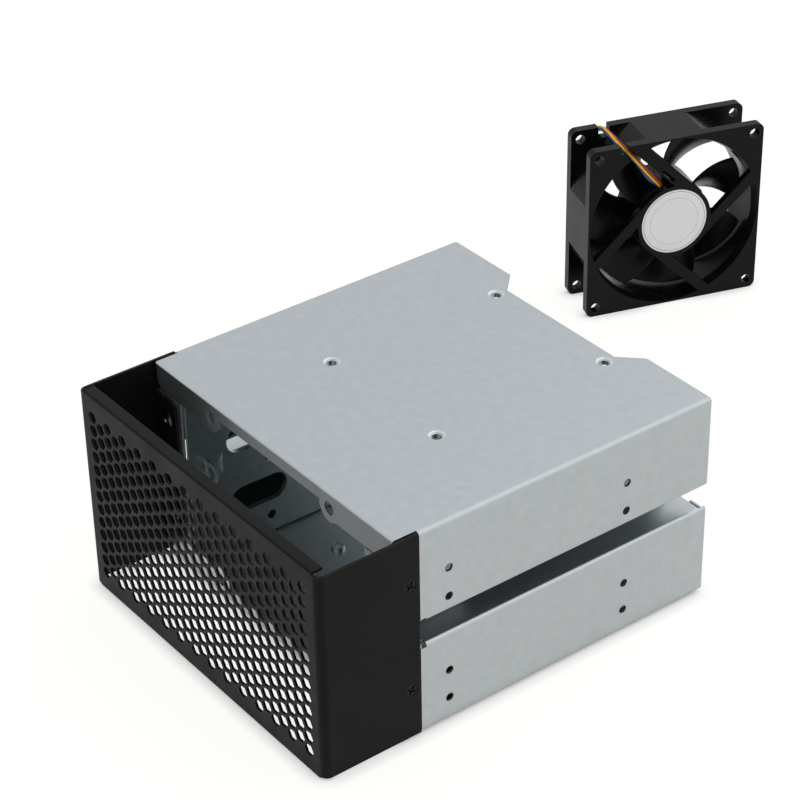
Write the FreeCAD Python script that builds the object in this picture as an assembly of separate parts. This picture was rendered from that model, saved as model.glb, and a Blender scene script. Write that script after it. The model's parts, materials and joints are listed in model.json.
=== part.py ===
import FreeCAD, Part
import math
import os

# Three-drive cage for two 5.25 inch bays, with its 80 mm fan standing beside it.
#
# Millimetres. +X is the user's right when facing the grille, -Y is the front and +Z is up.
# z = 0 is the cage's underside, from which the bay's holes are measured. y = 0 is the front
# edge of the side bands, where the black bezel ends. x = 0 is the cage's middle plane.

V = FreeCAD.Vector
X_AXIS, Y_AXIS, Z_AXIS = V(1, 0, 0), V(0, 1, 0), V(0, 0, 1)
EPS = 0.01                      # overlap given to tools that cut or join, so no skin is left

# ---- Cage: overall sizes ------------------------------------------------------------------
CAGE_W = 146.0                  # across the side bands
CAGE_H = 84.0                   # from the floor's underside to the top plate's upper face
CAGE_D = 130.8                  # side bands, front edge to rear edge
SHEET = 1.0                     # zinc-coated steel sheet
BEND_R = 1.6                    # outside radius of a folded edge
BAND_H = 37.4                   # height of each shell's side band, leaving a channel between
LIP_PROUD = 1.2                 # how far the bezel's lips stand proud of the cage
STAND_Z = -LIP_PROUD            # surface that the cage and the fan stand on

# ---- Shells: tongue, flanges, ledges and holes ---------------------------------------------
TONGUE = 9.7                    # how far the plates reach forward inside the bezel
TONGUE_HALF_W = 71.0
LEDGE_RELIEF = 2.5              # notch at the ledge's front corner
LEDGE = 13.0                    # band's edge beside the channel, folded inwards
REAR_FLANGE = 8.0               # band's rear edge, folded inwards
REAR_FLANGE_GAP = 1.4           # from the plate's outer face to the rear flange's end
FOLD_R = 0.9                    # outside radius of the tight folds at front and rear
REAR_GAP = 2.2                  # slot between the ledge's end and the rear flange
FRONT_FLANGE_LOW = 5.0          # plate's front flange between the fan ears
FRONT_FLANGE_HIGH = 10.4        # the same flange outside the fan ears
FRONT_FLANGE_HALF_W = 70.5
FRONT_FLANGE_CHAMFER = 2.5
SIDE_FLANGE_IN = 55.7           # inner edge of the side's front flange, from the middle
SIDE_FLANGE_GAP = 0.8           # slit between the plate's and the side's front flanges
SIDE_FLANGE_TOP_GAP = 0.6       # step from the band's edge down to the side flange's end
EAR_R = 5.4
BAY_HOLE_R = 1.65               # side holes for the bay's rails or screws
BAY_HOLE_Y = 12.2
BAY_HOLE_STEP = 79.25
BAY_HOLE_Z = 9.2                # lowest row above the floor's underside
BAY_ROW_STEP = 11.85
BAY_PITCH = 43.55
SMALL_DRIVE_X = 61.72           # bottom hole pattern of a 2.5 inch drive
SMALL_DRIVE_Y = 76.6
SMALL_DRIVE_FIRST_Y = 40.2
PLATE_HOLE_R = 1.75
PLATE_DIMPLE_R = 3.0
PLATE_DIMPLE_DEPTH = 0.6
PLATE_COLLAR_R = 2.6
PLATE_COLLAR_H = 1.4
NOTCH_MOUTH_HALF = 39.5         # finger notch in each plate's rear edge
NOTCH_DEPTH = 8.9

# ---- Drive walls -----------------------------------------------------------------------------
DRIVE_BAY_W = 108.6             # between the two walls
WALL_FLANGE = 11.0              # a wall's long edges, folded outwards onto the plates
WALL_BEND_R = 2.0
WALL_REAR = 126.0
DRIVE_ROWS_Z = (9.6, 36.2, 62.8)
DRIVE_HOLE_Y = 26.4
DRIVE_HOLE_STEP = 41.6
DRIVE_HOLE_R = 2.0
OBLONG_L = 26.0
OBLONG_H = 11.4
OBLONG_Y = 21.0
OBLONG_ROWS_Z = (22.0, 49.5)
OBLONG_RIM = 0.8
OBLONG_RIM_OUT = 1.2
TAB_Y = -1.5                    # front face of the tab lanced inwards from each wall at mid height
TAB_HOLE_IN = 3.1               # tab's hole, inwards from the wall's inner face
TAB_HOLE_R = 2.4
TAB_END_R = 4.4
TAB_WINDOW = 6.4                # length of the window that the tab leaves behind it

# ---- Bezel --------------------------------------------------------------------------------------
BEZEL_SHEET = 1.0
BEZEL_FRONT = 41.3              # front face, ahead of the side bands
BEZEL_GAP = 0.3                 # between the bezel's sides and the bands
BEZEL_CORNER_R = 3.0
BEZEL_LIP = 4.8
BEZEL_LIP_HALF_W = 69.5
HEX_ACROSS = 4.5                # hexagonal vent, across its flats
HEX_PITCH = 5.7
HEX_COLUMNS = 27
HEX_ROWS = 13
VENT_MARGIN = 3.2               # from the outermost vents' centres to the perforated field's edge

# ---- Bezel's angles, screws and rivets ---------------------------------------------------------
ANGLE_SHEET = 0.9
ANGLE_SLACK = 0.05
ANGLE_FLANGE_IN = 58.0          # inner edge of the angle's front leg, from the middle
ANGLE_HALF_H = 30.2
ANGLE_CORNER_R = 3.0
ANGLE_REAR = 1.0                # rear edge of the angle's side leg, ahead of the bands
BEZEL_SCREW_FORWARD = 4.0
BEZEL_SCREW_OFF = 22.0          # above and below the cage's mid height
SCREW_R = 1.5
SCREW_HEAD_R = 2.8
SCREW_LEN = 5.0
SCREW_SLACK = 0.06
RECESS_W = 0.7
RECESS_L = 3.2
RECESS_DEPTH = 1.0
RIVET_X = 64.0
RIVET_OFF = 20.8                # above and below the cage's mid height
RIVET_R = 1.6
RIVET_HEAD_R = 3.0
RIVET_HEAD_H = 1.0
RIVET_TAIL_R = 2.3
RIVET_TAIL_H = 1.6

# ---- Fan ------------------------------------------------------------------------------------------
FAN_W = 80.0
FAN_DEPTH = 25.0
FAN_PITCH = 71.5                # mounting holes
FAN_HOLE_R = 2.15
CAGE_FAN_HOLE_R = 2.6
FAN_CORNER_R = 3.0
FAN_FLANGE = 4.0
FAN_BORE_R = 38.0
FAN_MOUTH_R = 39.3
FAN_BARREL_R = 42.0             # clipped flat by the square's sides
HUB_PLATE_R = 17.0
HUB_PLATE_T = 2.4
BOARD_R = 15.4
BOARD_CLEAR = 0.3
LABEL_R = 15.1
LABEL_T = 0.25
LABEL_RECESS = 0.35
STRUT_IN = 12.4                 # a strut's inner and outer side, off the fan's axis
STRUT_OUT = 17.0
STRUT_DEPTH = 3.2
STRUT_REACH = 49.6              # from beside the hub out past the frame, where the outline clips it
WIDE_STRUT_IN = 11.8
WIDE_STRUT_OUT = 17.6
WINDOW_IN = 12.7
WINDOW_OUT = 14.1
WINDOW_FROM = 14.5
WINDOW_TO = 22.5
BLADES = 7
BLADE_TIP_R = 37.0
BLADE_ROOT_R = 16.9
ROTOR_HUB_R = 17.4
ROTOR_CUP_R = 16.0
ROTOR_WALL = 1.0
ROTOR_BACK = 1.6                # rotor's closed end, from the frame's back face
ROTOR_RIM = 19.4                # rotor's open end, from the frame's back face
SHAFT_R = 1.5
SHAFT_RUNNING_GAP = 0.03
BEARING_R = 4.0
BEARING_T = 4.0
TUBE_WALL = 0.75
SHOULDER_R = 3.0
SPRING_T = 1.6
AIR_GAP = 0.5
MAGNET_T = 1.6
BOARD_T = 1.2
POLES = 4
STATOR_Z0 = 10.0
STATOR_Z1 = 15.6
POLE_NECK = 3.4
POLE_SHOE = 2.0
POLE_SLOT = 2.2
STATOR_HUB_WALL = 1.8
COIL_BUILD = 1.6
COIL_CLEAR = 0.1
FRONT_BEARING_SHOULDER = 1.0    # bearing tube's rim beyond the front bearing
TUBE_CLEAR = 0.25               # between the bearing tube's rim and the label
REAR_BEARING_Z = 7.0            # from the frame's back face
REAR_BEARING_RIM = 1.0
LABEL_CLEAR = 0.15
CUP_RIM_STEP = 0.4              # steel cup's edge, inside the plastic rim
CUP_FLOOR_T = 0.8
CUP_FIT = 0.03
SHAFT_BOSS_R = 2.6
SHAFT_SEAT = 0.8                # shaft's lower end, from the rotor's closed face
SHAFT_END_CLEAR = 0.35
GROOVE_R = 1.1
GROOVE_W = 0.45
GROOVE_FROM_END = 0.9
CLIP_R = 2.7
CLIP_MOUTH = 1.8
MAGNET_Z0 = 7.4
MAGNET_Z1 = 18.0
ROTOR_CAP = 1.5
ROTOR_EDGE_R = 1.0
BLADE_CAMBER = 1.3
BLADE_LOW = 1.8                 # blades' lower and upper ends, inside the rotor's two ends
BLADE_HIGH = 0.6
BLADE_TURN = 12.0               # heading of the first blade
BLADE_ROOT_SINK = 0.6           # blade's root runs this far into the hub
# A blade's sections: radius, start angle, span angle, inset from each end, thickness.
BLADE_SECTIONS = (
    (BLADE_ROOT_R - BLADE_ROOT_SINK, 0.0, 38.0, 0.6, 0.6, 1.6),
    ((BLADE_ROOT_R + BLADE_TIP_R) / 2, -9.0, 41.0, 1.4, 1.6, 1.2),
    (BLADE_TIP_R + 0.8, -22.0, 43.0, 2.6, 3.0, 0.9),
)
LEAD_SLOT_CLEAR = 0.4           # beside the lead, where it passes through the frame
LEAD_SLOT_DEEP = 7.4            # down from the strut face, past the barrel's rim
BACK_NOTCH_WIDER = 1.7          # the back flange's notch, where the lead leans away
PLUG_SOCKET = 1.0
PLUG_SOCKET_DEPTH = 6.0
PLUG_PITCH = 2.54

# ---- Where the fan stands -----------------------------------------------------------------------------
FAN_FOOT = V(-90.0, 264.0, STAND_Z)  # middle of the strut face's lower edge
FAN_YAW = 71.7                   # heading of the strut face's outward normal, from -Y towards +X

# ---- Fan lead, in the fan's own frame -----------------------------------------------------------------
# X is right and Y is up when facing the struts, Z comes out of the strut face, and the
# back face is at Z = 0. The points run from the hub to the put-away coil on the floor.
LEAD_R = 1.3
LEAD_ROUTE = (
    V(-5.6, 16.9, 21.1), V(-9.6, 21.6, 22.6), V(-15.0, 28.0, 23.4), V(-20.8, 34.9, 22.4),
    V(-24.0, 37.9, 17.5), V(-24.1, 38.2, 8.5), V(-24.6, 37.8, -0.5), V(-27.4, 33.4, -5.6),
    V(-32.0, 22.5, -5.0), V(-36.0, 6.0, -3.9), V(-37.4, -12.0, -3.4), V(-35.6, -27.5, -4.6),
    V(-30.5, -36.6, -9.6), V(-21.0, -38.7, -15.6), V(-11.5, -38.7, -20.4), V(-3.07, -38.7, -22.7),
)
COIL_X = 12.0
COIL_Z = -24.0
COIL_R = 13.6                   # middle of the turns
COIL_HALF_T = 1.4
COIL_H = 5.3
TAIL_LEN = 3.5
PLUG_L = 11.5
PLUG_W = 10.2
PLUG_H = 5.8
PLUG_PINS = 4

MID_Z = CAGE_H / 2               # cage's mid height
FRONT = -TONGUE                  # plane of the zinc front flanges
DRIVE_IN = DRIVE_BAY_W / 2
PARTS = {}


# ---- Helpers ----------------------------------------------------------------------------------------------
def box(x0, x1, y0, y1, z0, z1):
    """A box between two corners."""
    return Part.makeBox(x1 - x0, y1 - y0, z1 - z0, V(x0, y0, z0))


def rod(radius, start, end):
    """A round bar from one point to another."""
    return Part.makeCylinder(radius, (end - start).Length, start, end - start)


def joined(shapes):
    """The shapes fused to one solid, with coplanar faces merged."""
    first, *rest = shapes
    return first.fuse(rest).removeSplitter() if rest else first


def mirrored_x(shape):
    """The shape and its mirror image across the cage's middle plane."""
    return [shape, shape.mirror(V(0, 0, 0), X_AXIS)]


def flipped(shape):
    """The shape mirrored in the cage's mid height."""
    return shape.mirror(V(0, 0, MID_Z), Z_AXIS)


def round_edges(shape, direction, places, radius):
    """Fillet the straight edges along direction that pass through the given places."""
    picked = []
    for edge in shape.Edges:
        if len(edge.Vertexes) != 2 or not isinstance(edge.Curve, Part.Line):
            continue
        start, end = edge.Vertexes[0].Point, edge.Vertexes[1].Point
        run = end - start
        if run.cross(direction).Length > EPS * run.Length:
            continue
        for place in places:
            off = (place - start).cross(direction).Length
            along = (place - start).dot(run) / run.Length
            if off < EPS and -EPS <= along <= run.Length + EPS:
                picked.append(edge)
                break
    return shape.makeFillet(radius, picked)


def plate_xz(points, y0, y1):
    """A flat plate with the outline (x, z), from y0 to y1."""
    corners = [V(x, y0, z) for x, z in points]
    return Part.Face(Part.makePolygon(corners + corners[:1])).extrude(V(0, y1 - y0, 0))


# ---- Cage shells -----------------------------------------------------------------------------------------------
def shell_section():
    """Channel open on one side: plate, side bands, and the bands' folded ledges."""
    half = CAGE_W / 2
    edge = half - LEDGE
    right = [
        (half, 0), (half, BAND_H), (edge, BAND_H), (edge, BAND_H - SHEET),
        (half - SHEET, BAND_H - SHEET), (half - SHEET, SHEET),
    ]
    left = [(-x, z) for x, z in reversed(right)]
    section = plate_xz(right + left, 0, CAGE_D)
    outer = [V(side * half, 0, z) for side in (-1, 1) for z in (0, BAND_H)]
    section = round_edges(section, Y_AXIS, outer, BEND_R)
    inner = [V(side * (half - SHEET), 0, z) for side in (-1, 1) for z in (SHEET, BAND_H - SHEET)]
    return round_edges(section, Y_AXIS, inner, BEND_R - SHEET)


def front_flanges():
    """The plate's folded front edge with its fan ears, and the sides' front flanges."""
    tip = FRONT_FLANGE_HALF_W
    high = FRONT_FLANGE_HIGH
    back = FRONT + SHEET
    tall = plate_xz([
        (FAN_PITCH / 2, 0), (tip, 0), (tip, high - FRONT_FLANGE_CHAMFER),
        (tip - FRONT_FLANGE_CHAMFER, high), (FAN_PITCH / 2, high),
    ], FRONT, back)
    side_low = high + SIDE_FLANGE_GAP
    side_high = BAND_H - SIDE_FLANGE_TOP_GAP
    side = box(SIDE_FLANGE_IN, TONGUE_HALF_W, FRONT, back, side_low, side_high)
    tongue = box(TONGUE_HALF_W - SHEET, TONGUE_HALF_W, FRONT, SHEET, side_low, side_high)
    joggle = box(TONGUE_HALF_W - SHEET, CAGE_W / 2 - SHEET + EPS, 0, SHEET, side_low, side_high)
    x, z = FAN_PITCH / 2, MID_Z - FAN_PITCH / 2
    ear = rod(EAR_R, V(x, FRONT, z), V(x, back, z))
    pieces = [box(-tip, tip, FRONT, back, 0, FRONT_FLANGE_LOW)]
    for piece in (tall, side, tongue, joggle, ear):
        pieces += mirrored_x(piece)
    return pieces


def front_holes():
    """Tools for the fan holes, rivet holes and bezel screw holes of one shell."""
    reach = 2 * SHEET
    tools = []
    places = [(FAN_PITCH / 2, MID_Z - FAN_PITCH / 2, CAGE_FAN_HOLE_R),
              (RIVET_X, MID_Z - RIVET_OFF, RIVET_R)]
    for x, z, radius in places:
        tools += mirrored_x(rod(radius, V(x, FRONT - reach, z), V(x, FRONT + reach, z)))
    y, z = -BEZEL_SCREW_FORWARD, MID_Z - BEZEL_SCREW_OFF
    inner = V(TONGUE_HALF_W - reach, y, z)
    tools += mirrored_x(rod(SCREW_R + SCREW_SLACK, inner, V(TONGUE_HALF_W + reach, y, z)))
    return tools


def plate_hole(x, y):
    """One countersunk, extruded hole of the small-drive pattern: its collar and its tools."""
    collar = rod(PLATE_COLLAR_R, V(x, y, SHEET - EPS), V(x, y, SHEET + PLATE_COLLAR_H))
    bore = rod(PLATE_HOLE_R, V(x, y, -SHEET), V(x, y, 2 * SHEET + PLATE_COLLAR_H))
    dimple = Part.makeCone(PLATE_DIMPLE_R, PLATE_HOLE_R, PLATE_DIMPLE_DEPTH, V(x, y, 0), Z_AXIS)
    return collar, bore, dimple


def finger_notch():
    """Tool for the wide notch with sloping sides in a plate's rear edge."""
    inner = NOTCH_MOUTH_HALF - NOTCH_DEPTH
    right = [V(inner, CAGE_D - NOTCH_DEPTH, -SHEET), V(NOTCH_MOUTH_HALF, CAGE_D, -SHEET),
             V(NOTCH_MOUTH_HALF, CAGE_D + SHEET, -SHEET)]
    left = [V(-p.x, p.y, p.z) for p in reversed(right)]
    outline = right + left
    return Part.Face(Part.makePolygon(outline + outline[:1])).extrude(Z_AXIS * (3 * SHEET))


def shell(row_heights):
    """One half of the cage, in the lower half's place, with bay holes at the given heights."""
    half = CAGE_W / 2
    slot = box(half - LEDGE - SHEET, half - SHEET - EPS, CAGE_D - SHEET - REAR_GAP, CAGE_D + EPS,
               SHEET + EPS, BAND_H + SHEET)
    relief = box(half - LEDGE_RELIEF, half + SHEET, -EPS, LEDGE_RELIEF,
                 BAND_H - BEND_R, BAND_H + SHEET)
    body = shell_section().cut(mirrored_x(slot) + mirrored_x(relief))
    flange = box(half - REAR_FLANGE, half - SHEET / 2, CAGE_D - SHEET, CAGE_D,
                 REAR_FLANGE_GAP, BAND_H - BEND_R)
    tongue = box(-TONGUE_HALF_W, TONGUE_HALF_W, FRONT, EPS, 0, SHEET)
    pieces = [body, tongue] + mirrored_x(flange) + front_flanges()
    tools = front_holes() + [finger_notch()]
    for x in (-SMALL_DRIVE_X / 2, SMALL_DRIVE_X / 2):
        for y in (SMALL_DRIVE_FIRST_Y, SMALL_DRIVE_FIRST_Y + SMALL_DRIVE_Y):
            collar, *cuts = plate_hole(x, y)
            pieces.append(collar)
            tools += cuts
    for y in (BAY_HOLE_Y, BAY_HOLE_Y + BAY_HOLE_STEP):
        for z in row_heights:
            tools += mirrored_x(rod(BAY_HOLE_R, V(half - 2 * SHEET, y, z), V(half + SHEET, y, z)))
    whole = joined(pieces).cut(tools).removeSplitter()
    rear = [V(side * half, CAGE_D, BAND_H / 2) for side in (-1, 1)]
    whole = round_edges(whole, Z_AXIS, rear, FOLD_R)
    return round_edges(whole, X_AXIS, [V(0, FRONT, 0)], FOLD_R)


def cage_shells():
    """Lower and upper shell: the same pressing turned over, apart from its bay holes."""
    lower_rows = (BAY_HOLE_Z, BAY_HOLE_Z + BAY_ROW_STEP)
    upper_rows = [CAGE_H - BAY_PITCH - height for height in lower_rows]
    PARTS["lower_shell"] = shell(lower_rows)
    PARTS["upper_shell"] = flipped(shell(upper_rows))


# ---- Drive walls --------------------------------------------------------------------------------------------------
def oblong(length, height, x0, x1, y, z):
    """A bar with round ends, from x0 to x1, with its long axis along Y."""
    reach = (length - height) / 2
    bar = box(x0, x1, y - reach, y + reach, z - height / 2, z + height / 2)
    ends = [rod(height / 2, V(x0, y + side * reach, z), V(x1, y + side * reach, z))
            for side in (-1, 1)]
    return joined([bar] + ends)


def lanced_tab():
    """The right-hand wall's tab and the tools for its hole and for the window behind it."""
    x = DRIVE_IN - TAB_HOLE_IN
    back = TAB_Y + SHEET
    strip = box(x, DRIVE_IN + SHEET / 2, TAB_Y, back, MID_Z - TAB_END_R, MID_Z + TAB_END_R)
    end = rod(TAB_END_R, V(x, TAB_Y, MID_Z), V(x, back, MID_Z))
    hole = rod(TAB_HOLE_R, V(x, TAB_Y - 1, MID_Z), V(x, back + 1, MID_Z))
    window = box(DRIVE_IN - EPS, DRIVE_IN + 2 * SHEET, back, back + TAB_WINDOW,
                 MID_Z - TAB_END_R, MID_Z + TAB_END_R)
    return joined([strip, end]), [hole, window]


def drive_wall():
    """The right-hand wall for the drives: a channel with screw holes and rimmed oblongs."""
    x0, x1, edge = DRIVE_IN, DRIVE_IN + SHEET, DRIVE_IN + WALL_FLANGE
    low, high = SHEET, CAGE_H - SHEET
    wall = plate_xz([(x0, low), (edge, low), (edge, low + SHEET), (x1, low + SHEET),
                     (x1, high - SHEET), (edge, high - SHEET), (edge, high), (x0, high)],
                    FRONT + SHEET, WALL_REAR)
    wall = round_edges(wall, Y_AXIS, [V(x0, FRONT + SHEET, low), V(x0, FRONT + SHEET, high)],
                       WALL_BEND_R)
    wall = round_edges(wall, Y_AXIS, [V(x1, FRONT + SHEET, low + SHEET),
                                      V(x1, FRONT + SHEET, high - SHEET)], WALL_BEND_R - SHEET)
    tab, cuts = lanced_tab()
    rims = [tab]
    for z in OBLONG_ROWS_Z:
        rims.append(oblong(OBLONG_L + 2 * OBLONG_RIM, OBLONG_H + 2 * OBLONG_RIM,
                           x1 - EPS, x1 + OBLONG_RIM_OUT, OBLONG_Y, z))
        cuts.append(oblong(OBLONG_L, OBLONG_H, x0 - SHEET, x1 + SHEET + OBLONG_RIM_OUT,
                           OBLONG_Y, z))
    for z in DRIVE_ROWS_Z:
        for y in (DRIVE_HOLE_Y, DRIVE_HOLE_Y + DRIVE_HOLE_STEP):
            cuts.append(rod(DRIVE_HOLE_R, V(x0 - SHEET, y, z), V(x1 + SHEET, y, z)))
    return joined([wall] + rims).cut(cuts)


def drive_walls():
    """Right wall and its mirror image."""
    PARTS["right_drive_wall"], PARTS["left_drive_wall"] = mirrored_x(drive_wall())


# ---- Bezel -----------------------------------------------------------------------------------------------------------
def hexagon(x, z, y):
    """Closed wire of one vent, with flats above and below."""
    radius = HEX_ACROSS / math.sqrt(3)
    corners = [V(x + radius * math.cos(math.radians(60 * k)), y,
                 z + radius * math.sin(math.radians(60 * k))) for k in range(6)]
    return Part.makePolygon(corners + corners[:1])


def vent_wires(y):
    """Honeycomb of vents: upright columns, each second one a row shorter."""
    spacing = HEX_PITCH * math.sqrt(3) / 2
    wires = []
    for column in range(HEX_COLUMNS):
        rows = HEX_ROWS - column % 2
        x = (column - (HEX_COLUMNS - 1) / 2) * spacing
        for row in range(rows):
            wires.append(hexagon(x, MID_Z + (row - (rows - 1) / 2) * HEX_PITCH, y))
    return wires


def bezel_sides():
    """The two sides with their rounded front corners, and the strip of front between them."""
    half = CAGE_W / 2
    z0, z1 = 0, CAGE_H
    outer = box(-half, half, -BEZEL_FRONT, -BEZEL_GAP, z0, z1)
    corners = [V(side * half, -BEZEL_FRONT, MID_Z) for side in (-1, 1)]
    outer = round_edges(outer, Z_AXIS, corners, BEZEL_CORNER_R)
    inner = box(-half + BEZEL_SHEET, half - BEZEL_SHEET, -BEZEL_FRONT + BEZEL_SHEET, 1, z0 - 1, z1 + 1)
    corners = [V(side * (half - BEZEL_SHEET), -BEZEL_FRONT + BEZEL_SHEET, MID_Z)
               for side in (-1, 1)]
    inner = round_edges(inner, Z_AXIS, corners, BEZEL_CORNER_R - BEZEL_SHEET)
    window = box(-BEZEL_LIP_HALF_W, BEZEL_LIP_HALF_W, -BEZEL_FRONT - 1,
                 -BEZEL_FRONT + BEZEL_SHEET + EPS, z0 - 1, z1 + 1)
    return outer.cut([inner, window])


def bezel_front():
    """The perforated front with its folded lips above and below, as two overlapping solids."""
    y0, y1 = -BEZEL_FRONT, -BEZEL_FRONT + BEZEL_SHEET
    low, high = STAND_Z, CAGE_H + LIP_PROUD
    half = BEZEL_LIP_HALF_W
    lips = [box(-half, half, y0, y0 + BEZEL_LIP, z, z + BEZEL_SHEET)
            for z in (low, high - BEZEL_SHEET)]
    folded = joined([box(-half, half, y0, y1, low, high)] + lips)
    folded = round_edges(folded, X_AXIS, [V(0, y0, low), V(0, y0, high)], FOLD_R)
    field_x = (HEX_COLUMNS - 1) / 2 * HEX_PITCH * math.sqrt(3) / 2 + VENT_MARGIN
    field_z = (HEX_ROWS - 1) / 2 * HEX_PITCH + VENT_MARGIN
    folded = folded.cut(box(-field_x, field_x, y0 - 1, y1 + 1, MID_Z - field_z, MID_Z + field_z))
    border = [V(x, y0, MID_Z + z) for x, z in ((-field_x, -field_z), (field_x, -field_z),
                                               (field_x, field_z), (-field_x, field_z))]
    field = Part.Face([Part.makePolygon(border + border[:1])] + vent_wires(y0))
    return [folded, field.extrude(V(0, BEZEL_SHEET, 0))]


def front_bezel():
    """Black bezel: perforated front, two sides, two lips and four countersunk holes."""
    body = joined([bezel_sides()] + bezel_front())
    half = CAGE_W / 2
    tools = []
    for side in (-1, 1):
        for off in (-BEZEL_SCREW_OFF, BEZEL_SCREW_OFF):
            start = V(side * (half + EPS), -BEZEL_SCREW_FORWARD, MID_Z + off)
            tools.append(Part.makeCone(SCREW_HEAD_R + SCREW_SLACK, SCREW_R + SCREW_SLACK,
                                       SCREW_HEAD_R - SCREW_R, start, V(-side, 0, 0)))
    PARTS["front_bezel"] = body.cut(tools)


def bezel_angle():
    """The right-hand black angle that ties the bezel to the cage's front flange."""
    x1 = CAGE_W / 2 - BEZEL_SHEET - ANGLE_SLACK
    y0 = FRONT - ANGLE_SHEET
    z0, z1 = MID_Z - ANGLE_HALF_H, MID_Z + ANGLE_HALF_H
    front = box(ANGLE_FLANGE_IN, x1, y0, FRONT, z0, z1)
    front = round_edges(front, Y_AXIS, [V(ANGLE_FLANGE_IN, y0, z0), V(ANGLE_FLANGE_IN, y0, z1)],
                        ANGLE_CORNER_R)
    side = box(x1 - ANGLE_SHEET, x1, y0, -ANGLE_REAR, z0, z1)
    cuts = []
    for off in (-1, 1):
        z = MID_Z + off * RIVET_OFF
        cuts.append(rod(RIVET_R, V(RIVET_X, y0 - 1, z), V(RIVET_X, FRONT + 1, z)))
        z = MID_Z + off * BEZEL_SCREW_OFF
        hole_r = SCREW_HEAD_R - BEZEL_SHEET + SCREW_SLACK
        cuts.append(rod(hole_r, V(x1 - 2, -BEZEL_SCREW_FORWARD, z), V(x1 + 1, -BEZEL_SCREW_FORWARD, z)))
    return joined([front, side]).cut(cuts)


def bezel_angles():
    """Right angle and its mirror image."""
    PARTS["right_bezel_angle"], PARTS["left_bezel_angle"] = mirrored_x(bezel_angle())


def bezel_screw(side, z):
    """One countersunk screw, driven from the side, with its cross recess."""
    half = CAGE_W / 2
    y = -BEZEL_SCREW_FORWARD
    inward = V(-side, 0, 0)
    head = Part.makeCone(SCREW_HEAD_R, SCREW_R, SCREW_HEAD_R - SCREW_R, V(side * half, y, z), inward)
    shank = Part.makeCylinder(SCREW_R, SCREW_LEN, V(side * half, y, z), inward)
    face = side * half
    deep = side * (half - RECESS_DEPTH)
    x0, x1 = min(face, deep), max(face, deep)
    slots = [box(x0, x1, y - a / 2, y + a / 2, z - b / 2, z + b / 2)
             for a, b in ((RECESS_W, RECESS_L), (RECESS_L, RECESS_W))]
    return joined([head, shank]).cut(slots)


def bezel_rivet(side, z):
    """One domed rivet through the angle and the zinc flange behind it."""
    x = side * RIVET_X
    front = FRONT - ANGLE_SHEET
    back = FRONT + SHEET
    radius = (RIVET_HEAD_R ** 2 + RIVET_HEAD_H ** 2) / (2 * RIVET_HEAD_H)
    ball = Part.makeSphere(radius, V(x, front - RIVET_HEAD_H + radius, z))
    head = ball.common(box(x - RIVET_HEAD_R, x + RIVET_HEAD_R, front - 2 * RIVET_HEAD_H, front,
                           z - RIVET_HEAD_R, z + RIVET_HEAD_R))
    shank = rod(RIVET_R, V(x, front - EPS, z), V(x, back + EPS, z))
    tail = rod(RIVET_TAIL_R, V(x, back, z), V(x, back + RIVET_TAIL_H, z))
    return joined([head, shank, tail])


def fasteners():
    """Four bezel screws and four bezel rivets."""
    sides = (-1, 1)
    screws = [bezel_screw(s, MID_Z + t * BEZEL_SCREW_OFF) for s in sides for t in sides]
    rivets = [bezel_rivet(s, MID_Z + t * RIVET_OFF) for s in sides for t in sides]
    PARTS["bezel_screws"] = Part.makeCompound(screws)
    PARTS["bezel_rivets"] = Part.makeCompound(rivets)


# ---- Fan: fixed side, modelled in the fan's own frame ---------------------------------------------------------------------
def square_plate(z0, z1):
    """One flange of the fan frame, with its corners rounded."""
    half = FAN_W / 2
    plate = box(-half, half, -half, half, z0, z1)
    corners = [V(a * half, b * half, z0) for a in (-1, 1) for b in (-1, 1)]
    return round_edges(plate, Z_AXIS, corners, FAN_CORNER_R)


def strut(turn, inner, outer):
    """A strut beside the hub, tangent to it, running out to the frame."""
    bar = box(0, STRUT_REACH, inner, outer, FAN_DEPTH - STRUT_DEPTH, FAN_DEPTH)
    bar.rotate(V(0, 0, 0), Z_AXIS, turn)
    return bar


def fan_frame():
    """Moulded frame: two flanges, a round barrel, four tangent struts and the hub plate."""
    outline = square_plate(0, FAN_DEPTH)
    shapes = [square_plate(0, FAN_FLANGE), square_plate(FAN_DEPTH - FAN_FLANGE, FAN_DEPTH)]
    shapes.append(rod(FAN_BARREL_R, V(0, 0, 0), V(0, 0, FAN_DEPTH)).common(outline))
    bore = rod(FAN_BORE_R, V(0, 0, -1), V(0, 0, FAN_DEPTH + 1))
    mouth = FAN_MOUTH_R - FAN_BORE_R
    cones = [Part.makeCone(FAN_MOUTH_R, FAN_BORE_R, 3 * mouth, V(0, 0, 0), Z_AXIS),
             Part.makeCone(FAN_MOUTH_R, FAN_BORE_R, 3 * mouth, V(0, 0, FAN_DEPTH), V(0, 0, -1))]
    shroud = joined(shapes).cut([bore] + cones)
    struts = [strut(turn, -STRUT_OUT, -STRUT_IN) for turn in (225, 315, 45)]
    struts.append(strut(135, -WIDE_STRUT_OUT, -WIDE_STRUT_IN))
    struts = [bar.common(outline) for bar in struts]
    plate = rod(HUB_PLATE_R, V(0, 0, FAN_DEPTH - HUB_PLATE_T), V(0, 0, FAN_DEPTH))
    body = joined([shroud, plate] + struts)
    return body.cut(frame_cuts()).removeSplitter()


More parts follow.
